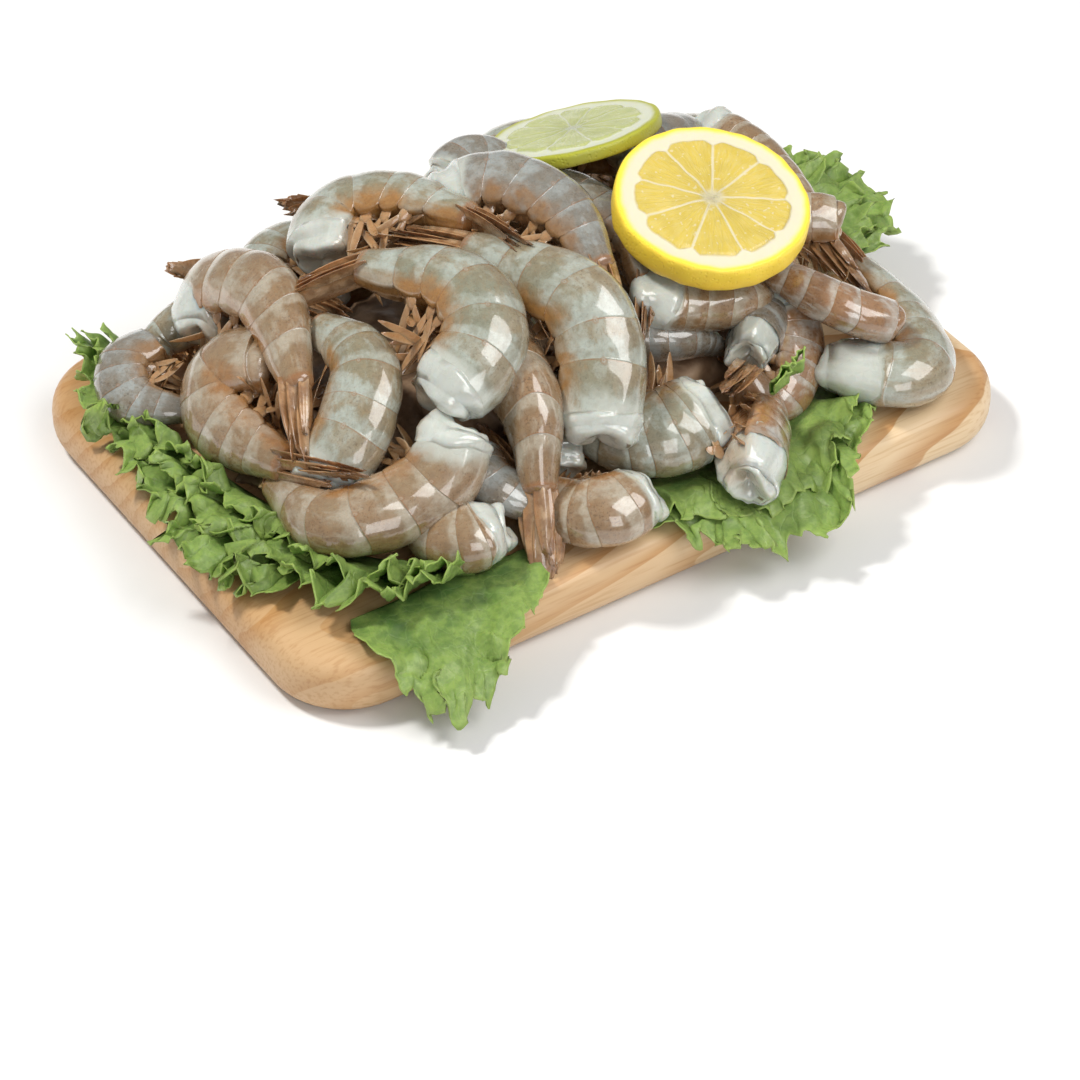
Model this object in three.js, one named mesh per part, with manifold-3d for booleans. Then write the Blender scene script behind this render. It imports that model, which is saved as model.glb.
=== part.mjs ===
// A wooden board heaped with raw headless shrimp, on lettuce leaves, with a slice of lemon and one of lime.
// Millimetres, +Z up, +X along the board, its front edge at -Y. The board stands on z = 0.
import * as THREE from "three";
import { ConvexGeometry } from "three/addons/geometries/ConvexGeometry.js";
import { mergeVertices } from "three/addons/utils/BufferGeometryUtils.js";
import Module from "manifold-3d";

const wasm = await Module();
wasm.setup();

// The board
const BOARD_LENGTH = 260;
const BOARD_WIDTH = 180;
const BOARD_THICKNESS = 19;
const BOARD_CORNER = 26; // radius of the four corners, seen from above
const BOARD_EDGE = 7; // how far the rounded edge reaches in from the sides
const CORNER_STEPS = 5;

// What lies on what keeps this gap, which the eye doesn't see
const GAP = 0.35;

// The heap's inside, where nothing shows: a low mound that the shrimps lie on
const MOUND_CENTRE = new THREE.Vector2(-2, 4);
const MOUND_HALF = new THREE.Vector2(100, 54);
const MOUND_HEIGHT = 25;

// Citrus slices: centre of the slice, the way its face looks, radius and thickness
const LEMON = { centre: [57.5, -18, 72.5], face: [0, -0.226, 0.974], radius: 30.8, thickness: 9 };
const LIME = { centre: [47.5, 42, 68.8], face: [0, 0.383, 0.924], radius: 28.2, thickness: 4.5 };

// A shrimp's body, from the cut end to the tail's root: place along the spine as a share of its length,
// half the height and half the width as shares of the tallest height. Meat stands out before the cut.
const MEAT_OUT = 0.17;
const BODY = [
  [0, 0.48, 0.38],
  [0.2, 0.5, 0.4],
  [0.42, 0.49, 0.39],
  [0.62, 0.43, 0.34],
  [0.82, 0.33, 0.26],
  [1, 0.22, 0.18],
];
// The tail fan: place as a share of its own length, then half-height and half-width as above.
const FAN_LENGTH = 0.9; // in body heights
const FAN_ROOT = 0.17;
const FAN = [
  [0.4, 0.1, 0.25],
  [1, 0.04, 0.31],
];
const BELLY = 0.86; // the belly is flatter than the back
const SIDES = 7;
const SIDES_SMALL = 6; // for the bodies lower than this:
const SMALL = 25;

// Every shrimp that shows: name, four points of its spine from the cut end to the tail's root, body height,
// how far the fan turns under in degrees, and the tone of its shell. Those on top come first.
const SHRIMPS = [
  ["long_centre", [-52, -35, 57], [-35, -30, 66], [-31, -12, 73], [-48, 15, 72], 29, 35, "green"],
  ["right_of_centre", [-12, -59, 43], [-2, -44, 59], [-2, -29, 69], [-16, 6, 71], 29, 10, "green"],
  ["upper_left", [-48, 38, 63], [-36, 49, 65], [-21, 40, 70], [-10, 14, 76], 26, 15, "green"],
  ["dark_top", [-7, 33, 70], [7, 24, 74], [15, 3, 74], [13, -23, 70], 26, 15, "grey"],
  ["left_arch", [-84, 52, 40], [-75, 58, 47], [-72, 31, 59], [-83, -4, 54], 26, 15, "tan"],
  ["left_inner", [-88, -27, 37], [-75, -23, 48], [-64, -10, 57], [-64, 15, 56], 26, 15, "green"],
  ["left_round", [-82, 16, 48], [-90, 27, 40], [-97, 15, 35], [-95, -17, 39], 28, 15, "tan"],
  ["front_round", [-52, -43, 50], [-66, -49, 38], [-94, -43, 34], [-97, -14, 30], 26, 50, "tan"],
  ["front_tail", [-11, -5, 42], [-24, -30, 52], [-28, -48, 50], [-37, -66, 36], 29, 5, "tan"],
  ["front_cut", [-53, -67, 30], [-63, -65, 29], [-67, -58, 28], [-61, -49, 27], 25, 15, "tan"],
  ["right_middle", [26, -63, 37], [10, -63, 35], [-3, -56, 34], [-5, -47, 36], 30, 15, "green"],
  ["right_upright", [20, -92, 30], [32, -79, 31], [45, -65, 29], [45, -56, 38], 25, 95, "brown"],
  ["front_banded", [-9, -78, 29], [-21, -79, 30], [-29, -71, 28], [-35, -56, 31], 24, 15, "tan"],
  ["under_lemon", [27, -25, 54], [41, -30, 51], [57, -34, 48], [72, -28, 44], 24, 15, "tan"],
  ["right_banded", [94, -64, 42], [83, -57, 47], [74, -41, 51], [68, -25, 52], 18, 15, "brown"],
  ["right_curl", [75, -59, 29], [96, -75, 29], [109, -53, 29], [111, -27, 33], 24, 0, "green"],
  ["right_inner", [104, -21, 50], [95, -16, 51], [83, -13, 50], [73, -11, 46], 18, 15, "tan"],
  ["behind_lemon", [97, 39, 50], [99, 20, 51], [100, 0, 49], [100, -21, 45], 24, 0, "tan"],
  ["under_banded", [48, -53, 40], [57, -45, 39], [68, -38, 37], [78, -29, 34], 21, 15, "grey"],
  ["in_shadow", [74, -34, 41], [70, -46, 33], [58, -60, 28], [46, -64, 26], 22, 15, "brown"],
  ["between_slices", [28, 30, 62], [34, 12, 61], [36, -6, 60], [30, -22, 57], 22, 15, "grey"],
  ["left_edge", [-97, 61, 31], [-107, 60, 30], [-113, 46, 29], [-102, 32, 29], 20, 15, "grey"],
  ["left_behind", [-69, 72, 30], [-84, 65, 34], [-94, 64, 31], [-98, 57, 27], 18, 15, "green"],
  ["behind_dark", [5, 51, 61], [16, 53, 63], [26, 47, 60], [35, 38, 56], 20, 15, "grey"],
  ["behind_lime", [62, 36, 58], [78, 38, 57], [92, 46, 48], [98, 58, 38], 22, 15, "grey"],
  ["low_right", [19, -27, 43], [33, -35, 42], [44, -35, 37], [51, -36, 32], 16, 15, "grey"],
  ["low_front", [-43, -40, 34], [-46, -53, 34], [-38, -63, 30], [-27, -60, 27], 18, 15, "grey"],
  ["low_middle", [-22, -56, 31], [-16, -46, 34], [-2, -35, 35], [12, -29, 37], 18, 15, "tan"],
  ["back_high", [9, 41, 47], [1, 53, 48], [-10, 60, 51], [-22, 64, 54], 22, -10, "tan"],
  ["back_under_lime", [26, 60, 48], [44, 68, 48], [62, 60, 47], [68, 46, 48], 25, 15, "green"],
  ["back_left_high", [-32, 62, 43], [-44, 68, 44], [-56, 62, 44], [-55, 48, 45], 22, 15, "green"],
  ["back_left_low", [-41, 69, 29], [-50, 73, 31], [-57, 76, 34], [-65, 77, 38], 18, 0, "brown"],
  ["back_low_centre", [-36, 56, 34], [-31, 72, 31], [-18, 76, 30], [-7, 64, 30], 23, 15, "tan"],
  ["back_low_right", [7, 60, 34], [11, 75, 31], [26, 78, 30], [41, 68, 30], 23, 15, "grey"],
  ["back_right", [48, 68, 30], [66, 77, 30], [84, 70, 30], [86, 54, 32], 24, 15, "tan"],
  ["back_corner", [98, 66, 30], [112, 60, 30], [120, 42, 30], [112, 26, 32], 24, 15, "green"],
  ["back_right_inner", [76, 54, 40], [90, 40, 40], [104, 44, 38], [108, 56, 32], 20, 15, "tan"],
];

// Lettuce: name, points of the inner edge that lies under the heap, points of the free edge,
// height of its waves and their number. The leaves lie on the board and bend down past its edges.
const LEAF_THICKNESS = 0.8;
const DROOP = 2.5; // a leaf stays level under the heap and bends further out
const LEAVES = [
  ["left", [[-98, 76, 21], [-106, 40, 21], [-104, 10, 21], [-98, -16, 21], [-90, -42, 21]],
    [[-113, 86, 26], [-123, 58, 25], [-129, 30, 24], [-131, 2, 24], [-134, -24, 22], [-122, -52, 22]], 4, 8],
  ["front_frill", [[-96, -34, 21], [-86, -50, 21], [-74, -60, 21], [-60, -70, 21]],
    [[-116, -48, 27], [-111, -66, 27], [-96, -76, 28], [-76, -78, 29]], 5, 4],
  ["front", [[-106, -70, 21], [-86, -70, 21], [-64, -68, 21], [-44, -72, 21]],
    [[-111, -80, 22], [-106, -95, 18], [-97, -112, 7], [-85, -110, 8], [-72, -104, 15], [-48, -87, 22]], 3, 4],
  ["right", [[-4, -64, 21], [20, -68, 21], [48, -62, 21], [76, -56, 21], [90, -60, 21]],
    [[-10, -84, 22], [8, -100, 14], [30, -108, 11], [47, -108, 13], [61, -94, 22], [86, -72, 22]], 4, 5],
  ["back_right", [[112, 36, 24], [114, 20, 24], [114, 4, 24], [112, -12, 23]],
    [[133, 41, 30], [145, 27, 27], [149, 8, 22], [141, -6, 21], [127, -15, 23]], 3, 5],
  ["back", [[-56, 70, 21], [-20, 72, 21], [10, 72, 21], [34, 72, 21]],
    [[-64, 86, 25], [-32, 101, 15], [0, 103, 13], [40, 88, 23]], 4, 6],
  ["sprig", [[44, -70, 40], [54, -66, 40]], [[42, -75, 48], [57, -69, 49]], 1, 2],
];

// The colours of raw shells, and of the rest
const SHELL = { tan: 0xb39a84, green: 0xa3a493, grey: 0x8d8c87, brown: 0x97714f };
const WOOD = 0xdfb780;
const LETTUCE = 0x6f9a45;
const INSIDE = 0x6d5846;
const LEMON_YELLOW = 0xf0ce48;
const LIME_GREEN = 0xb9c64f;

const group = new THREE.Group();

// A three.js geometry as a manifold-3d solid.
function solidOf(geometry) {
  const bare = new THREE.BufferGeometry();
  const loose = geometry.index ? geometry.toNonIndexed() : geometry;
  bare.setAttribute("position", loose.getAttribute("position"));
  const merged = mergeVertices(bare, 1e-3);
  return new wasm.Manifold(new wasm.Mesh({
    numProp: 3,
    vertProperties: merged.attributes.position.array,
    triVerts: new Uint32Array(merged.index.array),
  }));
}

// The indices of both faces' triangles between rows of equally many points, wrapped round or not.
function gridTriangles(rows, columns, wrapped, first = 0, flip = false) {
  const index = [];
  const last = wrapped ? columns : columns - 1;
  for (let r = 0; r < rows - 1; r++) {
    for (let c = 0; c < last; c++) {
      const a = first + r * columns + c;
      const b = first + r * columns + ((c + 1) % columns);
      const quad = [a, b, b + columns, a, b + columns, a + columns];
      index.push(...(flip ? quad.reverse() : quad));
    }
  }
  return index;
}

// A closed solid from rings of equally many points, with a flat end at either side.
function loft(rings) {
  const sides = rings[0].length;
  const index = gridTriangles(rings.length, sides, true);
  const end = (rings.length - 1) * sides;
  for (let c = 1; c < sides - 1; c++) {
    index.push(0, c + 1, c);
    index.push(end, end + c, end + c + 1);
  }
  return closedSolid(rings.flat(), index);
}

// A solid from points and triangles, turned right side out.
function closedSolid(points, index) {
  const positions = points.flatMap((p) => [p.x, p.y, p.z]);
  const geometry = new THREE.BufferGeometry();
  geometry.setAttribute("position", new THREE.Float32BufferAttribute(positions, 3));
  geometry.setIndex(index);
  const solid = solidOf(geometry);
  if (solid.volume() > 0) return solid;
  geometry.setIndex(index.reverse());
  return solidOf(geometry);
}

// A solid that follows rings of points: the convex piece between each two neighbours, all joined.
// A point of each piece reaches into the next one, so that no two of them only touch.
function chain(rings) {
  const middle = (ring) => ring.reduce((sum, p) => sum.add(p), new THREE.Vector3()).divideScalar(ring.length);
  return rings.slice(1)
    .map((ring, i) => {
      const next = rings[i + 2];
      const inside = next ? [middle(ring).lerp(middle(next), 0.3)] : [];
      return solidOf(new ConvexGeometry([...rings[i], ...ring, ...inside]));
    })
    .reduce((joined, piece) => joined.add(piece));
}

// The board: outlines with round corners, one above the other, its edge rounded top and bottom.
function board(grow = 0) {
  const outline = (inset, z) => {
    const radius = BOARD_CORNER - inset + grow;
    const points = [];
    for (let corner = 0; corner < 4; corner++) {
      const sx = corner === 0 || corner === 3 ? 1 : -1;
      const sy = corner < 2 ? 1 : -1;
      for (let step = 0; step <= CORNER_STEPS; step++) {
        const angle = (corner + step / CORNER_STEPS) * Math.PI / 2;
        points.push(new THREE.Vector3(
          sx * (BOARD_LENGTH / 2 - BOARD_CORNER) + radius * Math.cos(angle),
          sy * (BOARD_WIDTH / 2 - BOARD_CORNER) + radius * Math.sin(angle),
          z,
        ));
      }
    }
    return points;
  };
  const levels = [[1, 0], [0.5, 0.08], [0.14, 0.25], [0, 0.5], [0.14, 0.75], [0.5, 0.93], [1, 1]];
  return loft(levels.map(([inset, level]) => outline(
    inset * BOARD_EDGE,
    level * BOARD_THICKNESS + (level - 0.5) * 2 * grow,
  )));
}

// The mound: half an ellipsoid on the board.
function mound(grow = 0) {
  const profile = [];
  for (let step = 0; step <= 5; step++) {
    const angle = (step / 5) * Math.PI / 2;
    profile.push(new THREE.Vector2(Math.cos(angle), Math.sin(angle)));
  }
  profile[5].x = 0;
  const geometry = new THREE.LatheGeometry([new THREE.Vector2(0, 0), ...profile], 20);
  geometry.rotateX(Math.PI / 2);
  geometry.scale(MOUND_HALF.x + grow, MOUND_HALF.y + grow, MOUND_HEIGHT + grow);
  geometry.translate(MOUND_CENTRE.x, MOUND_CENTRE.y, BOARD_THICKNESS + GAP);
  return solidOf(geometry);
}

// A slice across a citrus fruit: a disc whose rind bulges a little.
function slice({ centre, face, radius, thickness }, grow = 0) {
  const half = thickness / 2 + grow;
  const full = radius + grow;
  const profile = [[0, -half], [full - 1.2, -half], [full, -half * 0.4], [full, half * 0.4], [full - 1.2, half], [0, half]];
  const geometry = new THREE.LatheGeometry(profile.map(([x, y]) => new THREE.Vector2(x, y)), 36);
  const turn = new THREE.Quaternion().setFromUnitVectors(
    new THREE.Vector3(0, 1, 0),
    new THREE.Vector3(...face).normalize(),
  );
  geometry.applyQuaternion(turn);
  geometry.translate(...centre);
  return solidOf(geometry);
}

// One shrimp's body and tail fan: rings along its spine, wide and flat in the fan.
// The back is on the outside of the curl.
function shrimp([name, a, b, c, d, height, bend, tone], grow = 0) {
  const points = [a, b, c, d].map((p) => new THREE.Vector3(...p));
  const curve = new THREE.CatmullRomCurve3(points, false, "catmullrom", 0.5);
  const steps = points.slice(1).map((p, i) => p.clone().sub(points[i]));
  const side = steps[0].clone().cross(steps[1]).add(steps[1].clone().cross(steps[2])).normalize();

  const sides = height < SMALL ? SIDES_SMALL : SIDES;

  const ring = (centre, along, halfHeight, halfWidth) => {
    const across = side.clone().addScaledVector(along, -side.dot(along)).normalize();
    const back = along.clone().cross(across);
    return Array.from({ length: sides }, (_, i) => {
      const angle = (i / sides + 0.25) * 2 * Math.PI;
      const up = Math.sin(angle) * (Math.sin(angle) < 0 ? BELLY : 1);
      return centre.clone()
        .addScaledVector(across, Math.cos(angle) * (halfWidth * height + grow))
        .addScaledVector(back, up * (halfHeight * height + grow));
    });
  };

  const start = curve.getTangentAt(0);
  const front = curve.getPointAt(0).addScaledVector(start, -MEAT_OUT * height - grow);
  const body = [ring(front, start, BODY[0][1] * 0.6, BODY[0][2] * 0.6)];
  for (const [place, halfHeight, halfWidth] of BODY) {
    body.push(ring(curve.getPointAt(place), curve.getTangentAt(place), halfHeight, halfWidth));
  }
  const root = curve.getPointAt(1);
  const turned = curve.getTangentAt(1).applyAxisAngle(side, THREE.MathUtils.degToRad(bend));
  const fan = [ring(curve.getPointAt(0.92), curve.getTangentAt(0.92), FAN_ROOT, FAN_ROOT)];
  for (const [place, halfHeight, halfWidth] of FAN) {
    const reach = place * FAN_LENGTH * height + (place === 1 ? grow : 0);
    fan.push(ring(root.clone().addScaledVector(turned, reach), turned, halfHeight, halfWidth));
  }
  return { name, tone, body: chain(body), fan: chain(fan) };
}

// One leaf: a thin wavy sheet between its inner and its free edge, its waves growing towards the free edge.
function leaf([name, inner, outer, wave, waves], grow = 0) {
  const edge = (list) => new THREE.CatmullRomCurve3(list.map((p) => new THREE.Vector3(...p)), false, "catmullrom", 0.5);
  const innerEdge = edge(inner);
  const outerEdge = edge(outer);
  const columns = 3 * waves + 1;
  const rows = 4;
  const middle = [];
  for (let r = 0; r < rows; r++) {
    const out = r / (rows - 1);
    for (let c = 0; c < columns; c++) {
      const along = c / (columns - 1);
      const near = innerEdge.getPointAt(along);
      const far = outerEdge.getPointAt(along);
      const point = near.clone().lerp(far, out);
      point.z = near.z + (far.z - near.z) * out ** DROOP;
      point.z += wave * out ** 2 * (0.5 + 0.5 * Math.sin(2 * Math.PI * waves * along));
      middle.push(point);
    }
  }
  const at = (r, c) => middle[r * columns + c];
  const beyond = (index, last) => (index === 0 ? -grow : index === last ? grow : 0);
  const half = LEAF_THICKNESS / 2 + grow;
  const upper = [];
  const lower = [];
  for (let r = 0; r < rows; r++) {
    for (let c = 0; c < columns; c++) {
      const out = at(Math.min(r + 1, rows - 1), c).clone().sub(at(Math.max(r - 1, 0), c)).normalize();
      const along = at(r, Math.min(c + 1, columns - 1)).clone().sub(at(r, Math.max(c - 1, 0))).normalize();
      const normal = out.clone().cross(along).normalize();
      const point = at(r, c).clone()
        .addScaledVector(out, beyond(r, rows - 1))
        .addScaledVector(along, beyond(c, columns - 1));
      upper.push(point.clone().addScaledVector(normal, half));
      lower.push(point.clone().addScaledVector(normal, -half));
    }
  }
  const count = upper.length;
  const index = [
    ...gridTriangles(rows, columns, false),
    ...gridTriangles(rows, columns, false, count, true),
  ];
  const rim = [];
  for (let c = 0; c < columns - 1; c++) rim.push(c);
  for (let r = 0; r < rows - 1; r++) rim.push(r * columns + columns - 1);
  for (let c = columns - 1; c > 0; c--) rim.push((rows - 1) * columns + c);
  for (let r = rows - 1; r > 0; r--) rim.push(r * columns);
  rim.forEach((a, i) => {
    const b = rim[(i + 1) % rim.length];
    index.push(b, a, a + count, b, a + count, b + count);
  });
  return closedSolid([...upper, ...lower], index);
}

// The largest body of a solid that cuts may have split, its vertices merged.
function largestBody(solid) {
  const largest = (of) => of.decompose().reduce((a, b) => (b.volume() > a.volume() ? b : a));
  return largest(solidOf(geometryOf(largest(solid))));
}

// A solid's surface as a three.js geometry.
function geometryOf(solid) {
  const mesh = solid.getMesh();
  const geometry = new THREE.BufferGeometry();
  geometry.setAttribute("position", new THREE.BufferAttribute(new Float32Array(mesh.vertProperties), 3));
  geometry.setIndex(new THREE.BufferAttribute(new Uint32Array(mesh.triVerts), 1));
  return geometry;
}

// A solid as a named mesh of the group.
function add(name, solid, colour, roughness) {
  const geometry = geometryOf(solid);
  geometry.computeVertexNormals();
  const part = new THREE.Mesh(geometry, new THREE.MeshStandardMaterial({ color: colour, roughness }));
  part.name = name;
  group.add(part);
}

// A solid without the others that reach into it.
function clearOf(solid, others) {
  const apart = (a, b) => [0, 1, 2].some((i) => a.min[i] > b.max[i] || b.min[i] > a.max[i]);
  return others
    .filter((other) => !apart(solid.boundingBox(), other.boundingBox()))
    .reduce((rest, other) => rest.subtract(other), solid);
}

// What carries the shrimps, each a little larger than it is, so that what lies on it keeps the gap.
const carriers = [board(GAP)];

add("board", board(), WOOD, 0.5);
add("heap_inside", mound(), INSIDE, 0.4);

for (const row of LEAVES) {
  add("lettuce_" + row[0], largestBody(clearOf(leaf(row), carriers)), LETTUCE, 0.5);
  carriers.push(leaf(row, GAP));
}

add("lemon_slice", slice(LEMON), LEMON_YELLOW, 0.35);
carriers.push(slice(LEMON, GAP));
add("lime_slice", largestBody(clearOf(slice(LIME), carriers)), LIME_GREEN, 0.35);
carriers.push(slice(LIME, GAP), mound(GAP));

// Bodies give way to the bodies above them, and tail fans to every other body.
const grown = SHRIMPS.map((row) => shrimp(row, GAP));
SHRIMPS.forEach((row, i) => {
  const { name, tone, body, fan } = shrimp(row);
  const above = grown.slice(0, i);
  const others = grown.filter((other) => other.name !== name);
  const whole = largestBody(clearOf(body, [...carriers, ...above.map((other) => other.body)]));
  const tail = clearOf(fan, [...carriers, ...others.map((other) => other.body), ...above.map((other) => other.fan)]);
  add("shrimp_" + name, largestBody(whole.add(tail)), SHELL[tone], 0.35);
});

export default group;
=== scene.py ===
"""A wooden board heaped with raw headless shrimp in their shells, on curly lettuce, with lemon and lime."""

import math

import bpy
import numpy as np
from bpy.props import FloatProperty, FloatVectorProperty, PointerProperty
from mathutils import Matrix, Vector


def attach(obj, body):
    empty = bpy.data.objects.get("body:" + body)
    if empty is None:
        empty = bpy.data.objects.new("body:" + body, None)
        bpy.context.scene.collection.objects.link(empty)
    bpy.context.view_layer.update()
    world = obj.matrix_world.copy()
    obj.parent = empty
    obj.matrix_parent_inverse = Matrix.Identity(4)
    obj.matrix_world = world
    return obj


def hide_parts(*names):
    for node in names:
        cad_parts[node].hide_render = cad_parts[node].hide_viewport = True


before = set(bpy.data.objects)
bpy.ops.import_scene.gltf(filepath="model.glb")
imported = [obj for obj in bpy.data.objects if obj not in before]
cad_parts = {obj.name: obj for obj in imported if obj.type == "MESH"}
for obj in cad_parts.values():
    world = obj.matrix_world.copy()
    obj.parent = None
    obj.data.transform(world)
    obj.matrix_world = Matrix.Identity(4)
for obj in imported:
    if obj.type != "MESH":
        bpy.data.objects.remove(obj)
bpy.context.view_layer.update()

bl_info = {
    "name": "Board of Headless Shrimp",
    "version": (1, 0, 0),
    "blender": (4, 5, 0),
    "location": "View3D > Sidebar > Shrimp Board",
    "description": "Dresses a packed board of raw shrimp, lettuce, lemon and lime",
    "category": "Add Mesh",
}

MM = 0.001
BODY_NAME = "root"

# Where everything lies, in millimetres. The source of the solids has the same places.
BOARD_SIZE = (260.0, 180.0, 19.0)
BOARD_CORNER = 26.0
BOARD_EDGE = 7.0
LEMON = {"centre": (57.5, -18, 72.5), "face": (0.0, -0.226, 0.974), "radius": 30.8, "thickness": 9.0}
LIME = {"centre": (47.5, 42, 68.8), "face": (0.0, 0.383, 0.924), "radius": 28.2, "thickness": 4.5}
MOUND = {"centre": (-2, 4, 19.4), "half": (100, 54, 25)}
# The walls between the segments of each slice, as degrees round it.
LEMON_WALLS = (15, 55, 95, 135, 173, 220, 260, 295, 332)
LIME_WALLS = (4, 40, 71, 108, 146, 178, 214, 255, 290, 322)

# The camera: turn and height of the view in degrees, distance and focus point in millimetres.
VIEW = {"azimuth": -33.5, "elevation": 40.6, "distance": 1200.0, "aim": (-26.5, -50.0, 0.0), "lens": 130.5}

# Shrimps: name, four points of the spine from the cut end to the tail's root, body height, how far the fan
# turns under and how far its blades spread in degrees, how lumpy the cut meat is, the share of the length
# that has no shell (with 0.0 the shell covers the cut end too), and the shell's tone.
SHRIMPS = (
    ("long_centre", (-52, -35, 57), (-35, -30, 66), (-31, -12, 73), (-48, 15, 72),
     29, 35, 9, 0.7, 0.075, "green"),
    ("right_of_centre", (-12, -59, 43), (-2, -44, 59), (-2, -29, 69), (-16, 6, 71),
     29, 10, 9, 0.3, 0.05, "green"),
    ("upper_left", (-48, 38, 63), (-36, 49, 65), (-21, 40, 70), (-10, 14, 76),
     26, 15, 6, 0.5, 0.07, "green"),
    ("dark_top", (-7, 33, 70), (7, 24, 74), (15, 3, 74), (13, -23, 70),
     26, 15, 10, 0.5, 0.08, "grey"),
    ("left_arch", (-84, 52, 40), (-75, 58, 47), (-72, 31, 59), (-83, -4, 54),
     26, 15, 12, 0.5, 0.1, "tan"),
    ("left_inner", (-88, -27, 37), (-75, -23, 48), (-64, -10, 57), (-64, 15, 56),
     26, 15, 10, 0.4, 0.06, "green"),
    ("left_round", (-82, 16, 48), (-90, 27, 40), (-97, 15, 35), (-95, -17, 39),
     28, 15, 12, 0.3, 0.0, "tan"),
    ("front_round", (-52, -43, 50), (-66, -49, 38), (-94, -43, 34), (-97, -14, 30),
     26, 50, 10, 0.8, 0.085, "tan"),
    ("front_tail", (-11, -5, 42), (-24, -30, 52), (-28, -48, 50), (-37, -66, 36),
     29, 5, 7, 0.4, 0.09, "tan"),
    ("front_cut", (-53, -67, 30), (-63, -65, 29), (-67, -58, 28), (-61, -49, 27),
     25, 15, 10, 0.5, 0.26, "tan"),
    ("right_middle", (26, -63, 37), (10, -63, 35), (-3, -56, 34), (-5, -47, 36),
     30, 15, 10, 1.4, 0.17, "green"),
    ("right_upright", (20, -92, 30), (32, -79, 31), (45, -65, 29), (45, -56, 38),
     25, 95, 10, 1.3, 0.22, "brown"),
    ("front_banded", (-9, -78, 29), (-21, -79, 30), (-29, -71, 28), (-35, -56, 31),
     24, 15, 10, 0.6, 0.1, "tan"),
    ("under_lemon", (27, -25, 54), (41, -30, 51), (57, -34, 48), (72, -28, 44),
     24, 15, 10, 0.4, 0.16, "tan"),
    ("right_banded", (94, -64, 42), (83, -57, 47), (74, -41, 51), (68, -25, 52),
     18, 15, 10, 0.3, 0.0, "brown"),
    ("right_curl", (75, -59, 29), (96, -75, 29), (109, -53, 29), (111, -27, 33),
     24, 0, 10, 0.5, 0.15, "green"),
    ("right_inner", (104, -21, 50), (95, -16, 51), (83, -13, 50), (73, -11, 46),
     18, 15, 12, 0.3, 0.0, "tan"),
    ("behind_lemon", (97, 39, 50), (99, 20, 51), (100, 0, 49), (100, -21, 45),
     24, 0, 12, 0.5, 0.09, "tan"),
    ("under_banded", (48, -53, 40), (57, -45, 39), (68, -38, 37), (78, -29, 34),
     21, 15, 10, 1.6, 0.36, "grey"),
    ("in_shadow", (74, -34, 41), (70, -46, 33), (58, -60, 28), (46, -64, 26),
     22, 15, 10, 0.6, 0.09, "brown"),
    ("between_slices", (28, 30, 62), (34, 12, 61), (36, -6, 60), (30, -22, 57),
     22, 15, 10, 0.5, 0.09, "grey"),
    ("left_edge", (-97, 61, 31), (-107, 60, 30), (-113, 46, 29), (-102, 32, 29),
     20, 15, 10, 0.3, 0.0, "grey"),
    ("left_behind", (-69, 72, 30), (-84, 65, 34), (-94, 64, 31), (-98, 57, 27),
     18, 15, 10, 0.5, 0.09, "green"),
    ("behind_dark", (5, 51, 61), (16, 53, 63), (26, 47, 60), (35, 38, 56),
     20, 15, 10, 0.5, 0.09, "grey"),
    ("behind_lime", (62, 36, 58), (78, 38, 57), (92, 46, 48), (98, 58, 38),
     22, 15, 10, 0.5, 0.09, "grey"),
    ("low_right", (19, -27, 43), (33, -35, 42), (44, -35, 37), (51, -36, 32),
     16, 15, 10, 0.7, 0.09, "grey"),
    ("low_front", (-43, -40, 34), (-46, -53, 34), (-38, -63, 30), (-27, -60, 27),
     18, 15, 10, 0.7, 0.09, "grey"),
    ("low_middle", (-22, -56, 31), (-16, -46, 34), (-2, -35, 35), (12, -29, 37),
     18, 15, 10, 0.7, 0.09, "tan"),
    ("back_high", (9, 41, 47), (1, 53, 48), (-10, 60, 51), (-22, 64, 54),
     22, -10, 12, 0.5, 0.09, "tan"),
    ("back_under_lime", (26, 60, 48), (44, 68, 48), (62, 60, 47), (68, 46, 48),
     25, 15, 12, 0.5, 0.09, "green"),
    ("back_left_high", (-32, 62, 43), (-44, 68, 44), (-56, 62, 44), (-55, 48, 45),
     22, 15, 12, 0.5, 0.09, "green"),
    ("back_left_low", (-41, 69, 29), (-50, 73, 31), (-57, 76, 34), (-65, 77, 38),
     18, 0, 10, 0.5, 0.09, "brown"),
    ("back_low_centre", (-36, 56, 34), (-31, 72, 31), (-18, 76, 30), (-7, 64, 30),
     23, 15, 12, 0.5, 0.09, "tan"),
    ("back_low_right", (7, 60, 34), (11, 75, 31), (26, 78, 30), (41, 68, 30),
     23, 15, 12, 0.5, 0.09, "grey"),
    ("back_right", (48, 68, 30), (66, 77, 30), (84, 70, 30), (86, 54, 32),
     24, 15, 12, 0.5, 0.09, "tan"),
    ("back_corner", (98, 66, 30), (112, 60, 30), (120, 42, 30), (112, 26, 32),
     24, 15, 12, 0.5, 0.09, "green"),
    ("back_right_inner", (76, 54, 40), (90, 40, 40), (104, 44, 38), (108, 56, 32),
     20, 15, 12, 0.5, 0.09, "tan"),
)
# Shrimps whose legs are longer or shorter than the rest, as a share of the usual length.
LEG_SHARES = {"long_centre": 1.2, "upper_left": 1.3, "left_inner": 1.3, "dark_top": 1.2, "right_upright": 0.2,
              "front_banded": 0.5, "right_middle": 0.8, "front_cut": 0.6}

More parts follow.
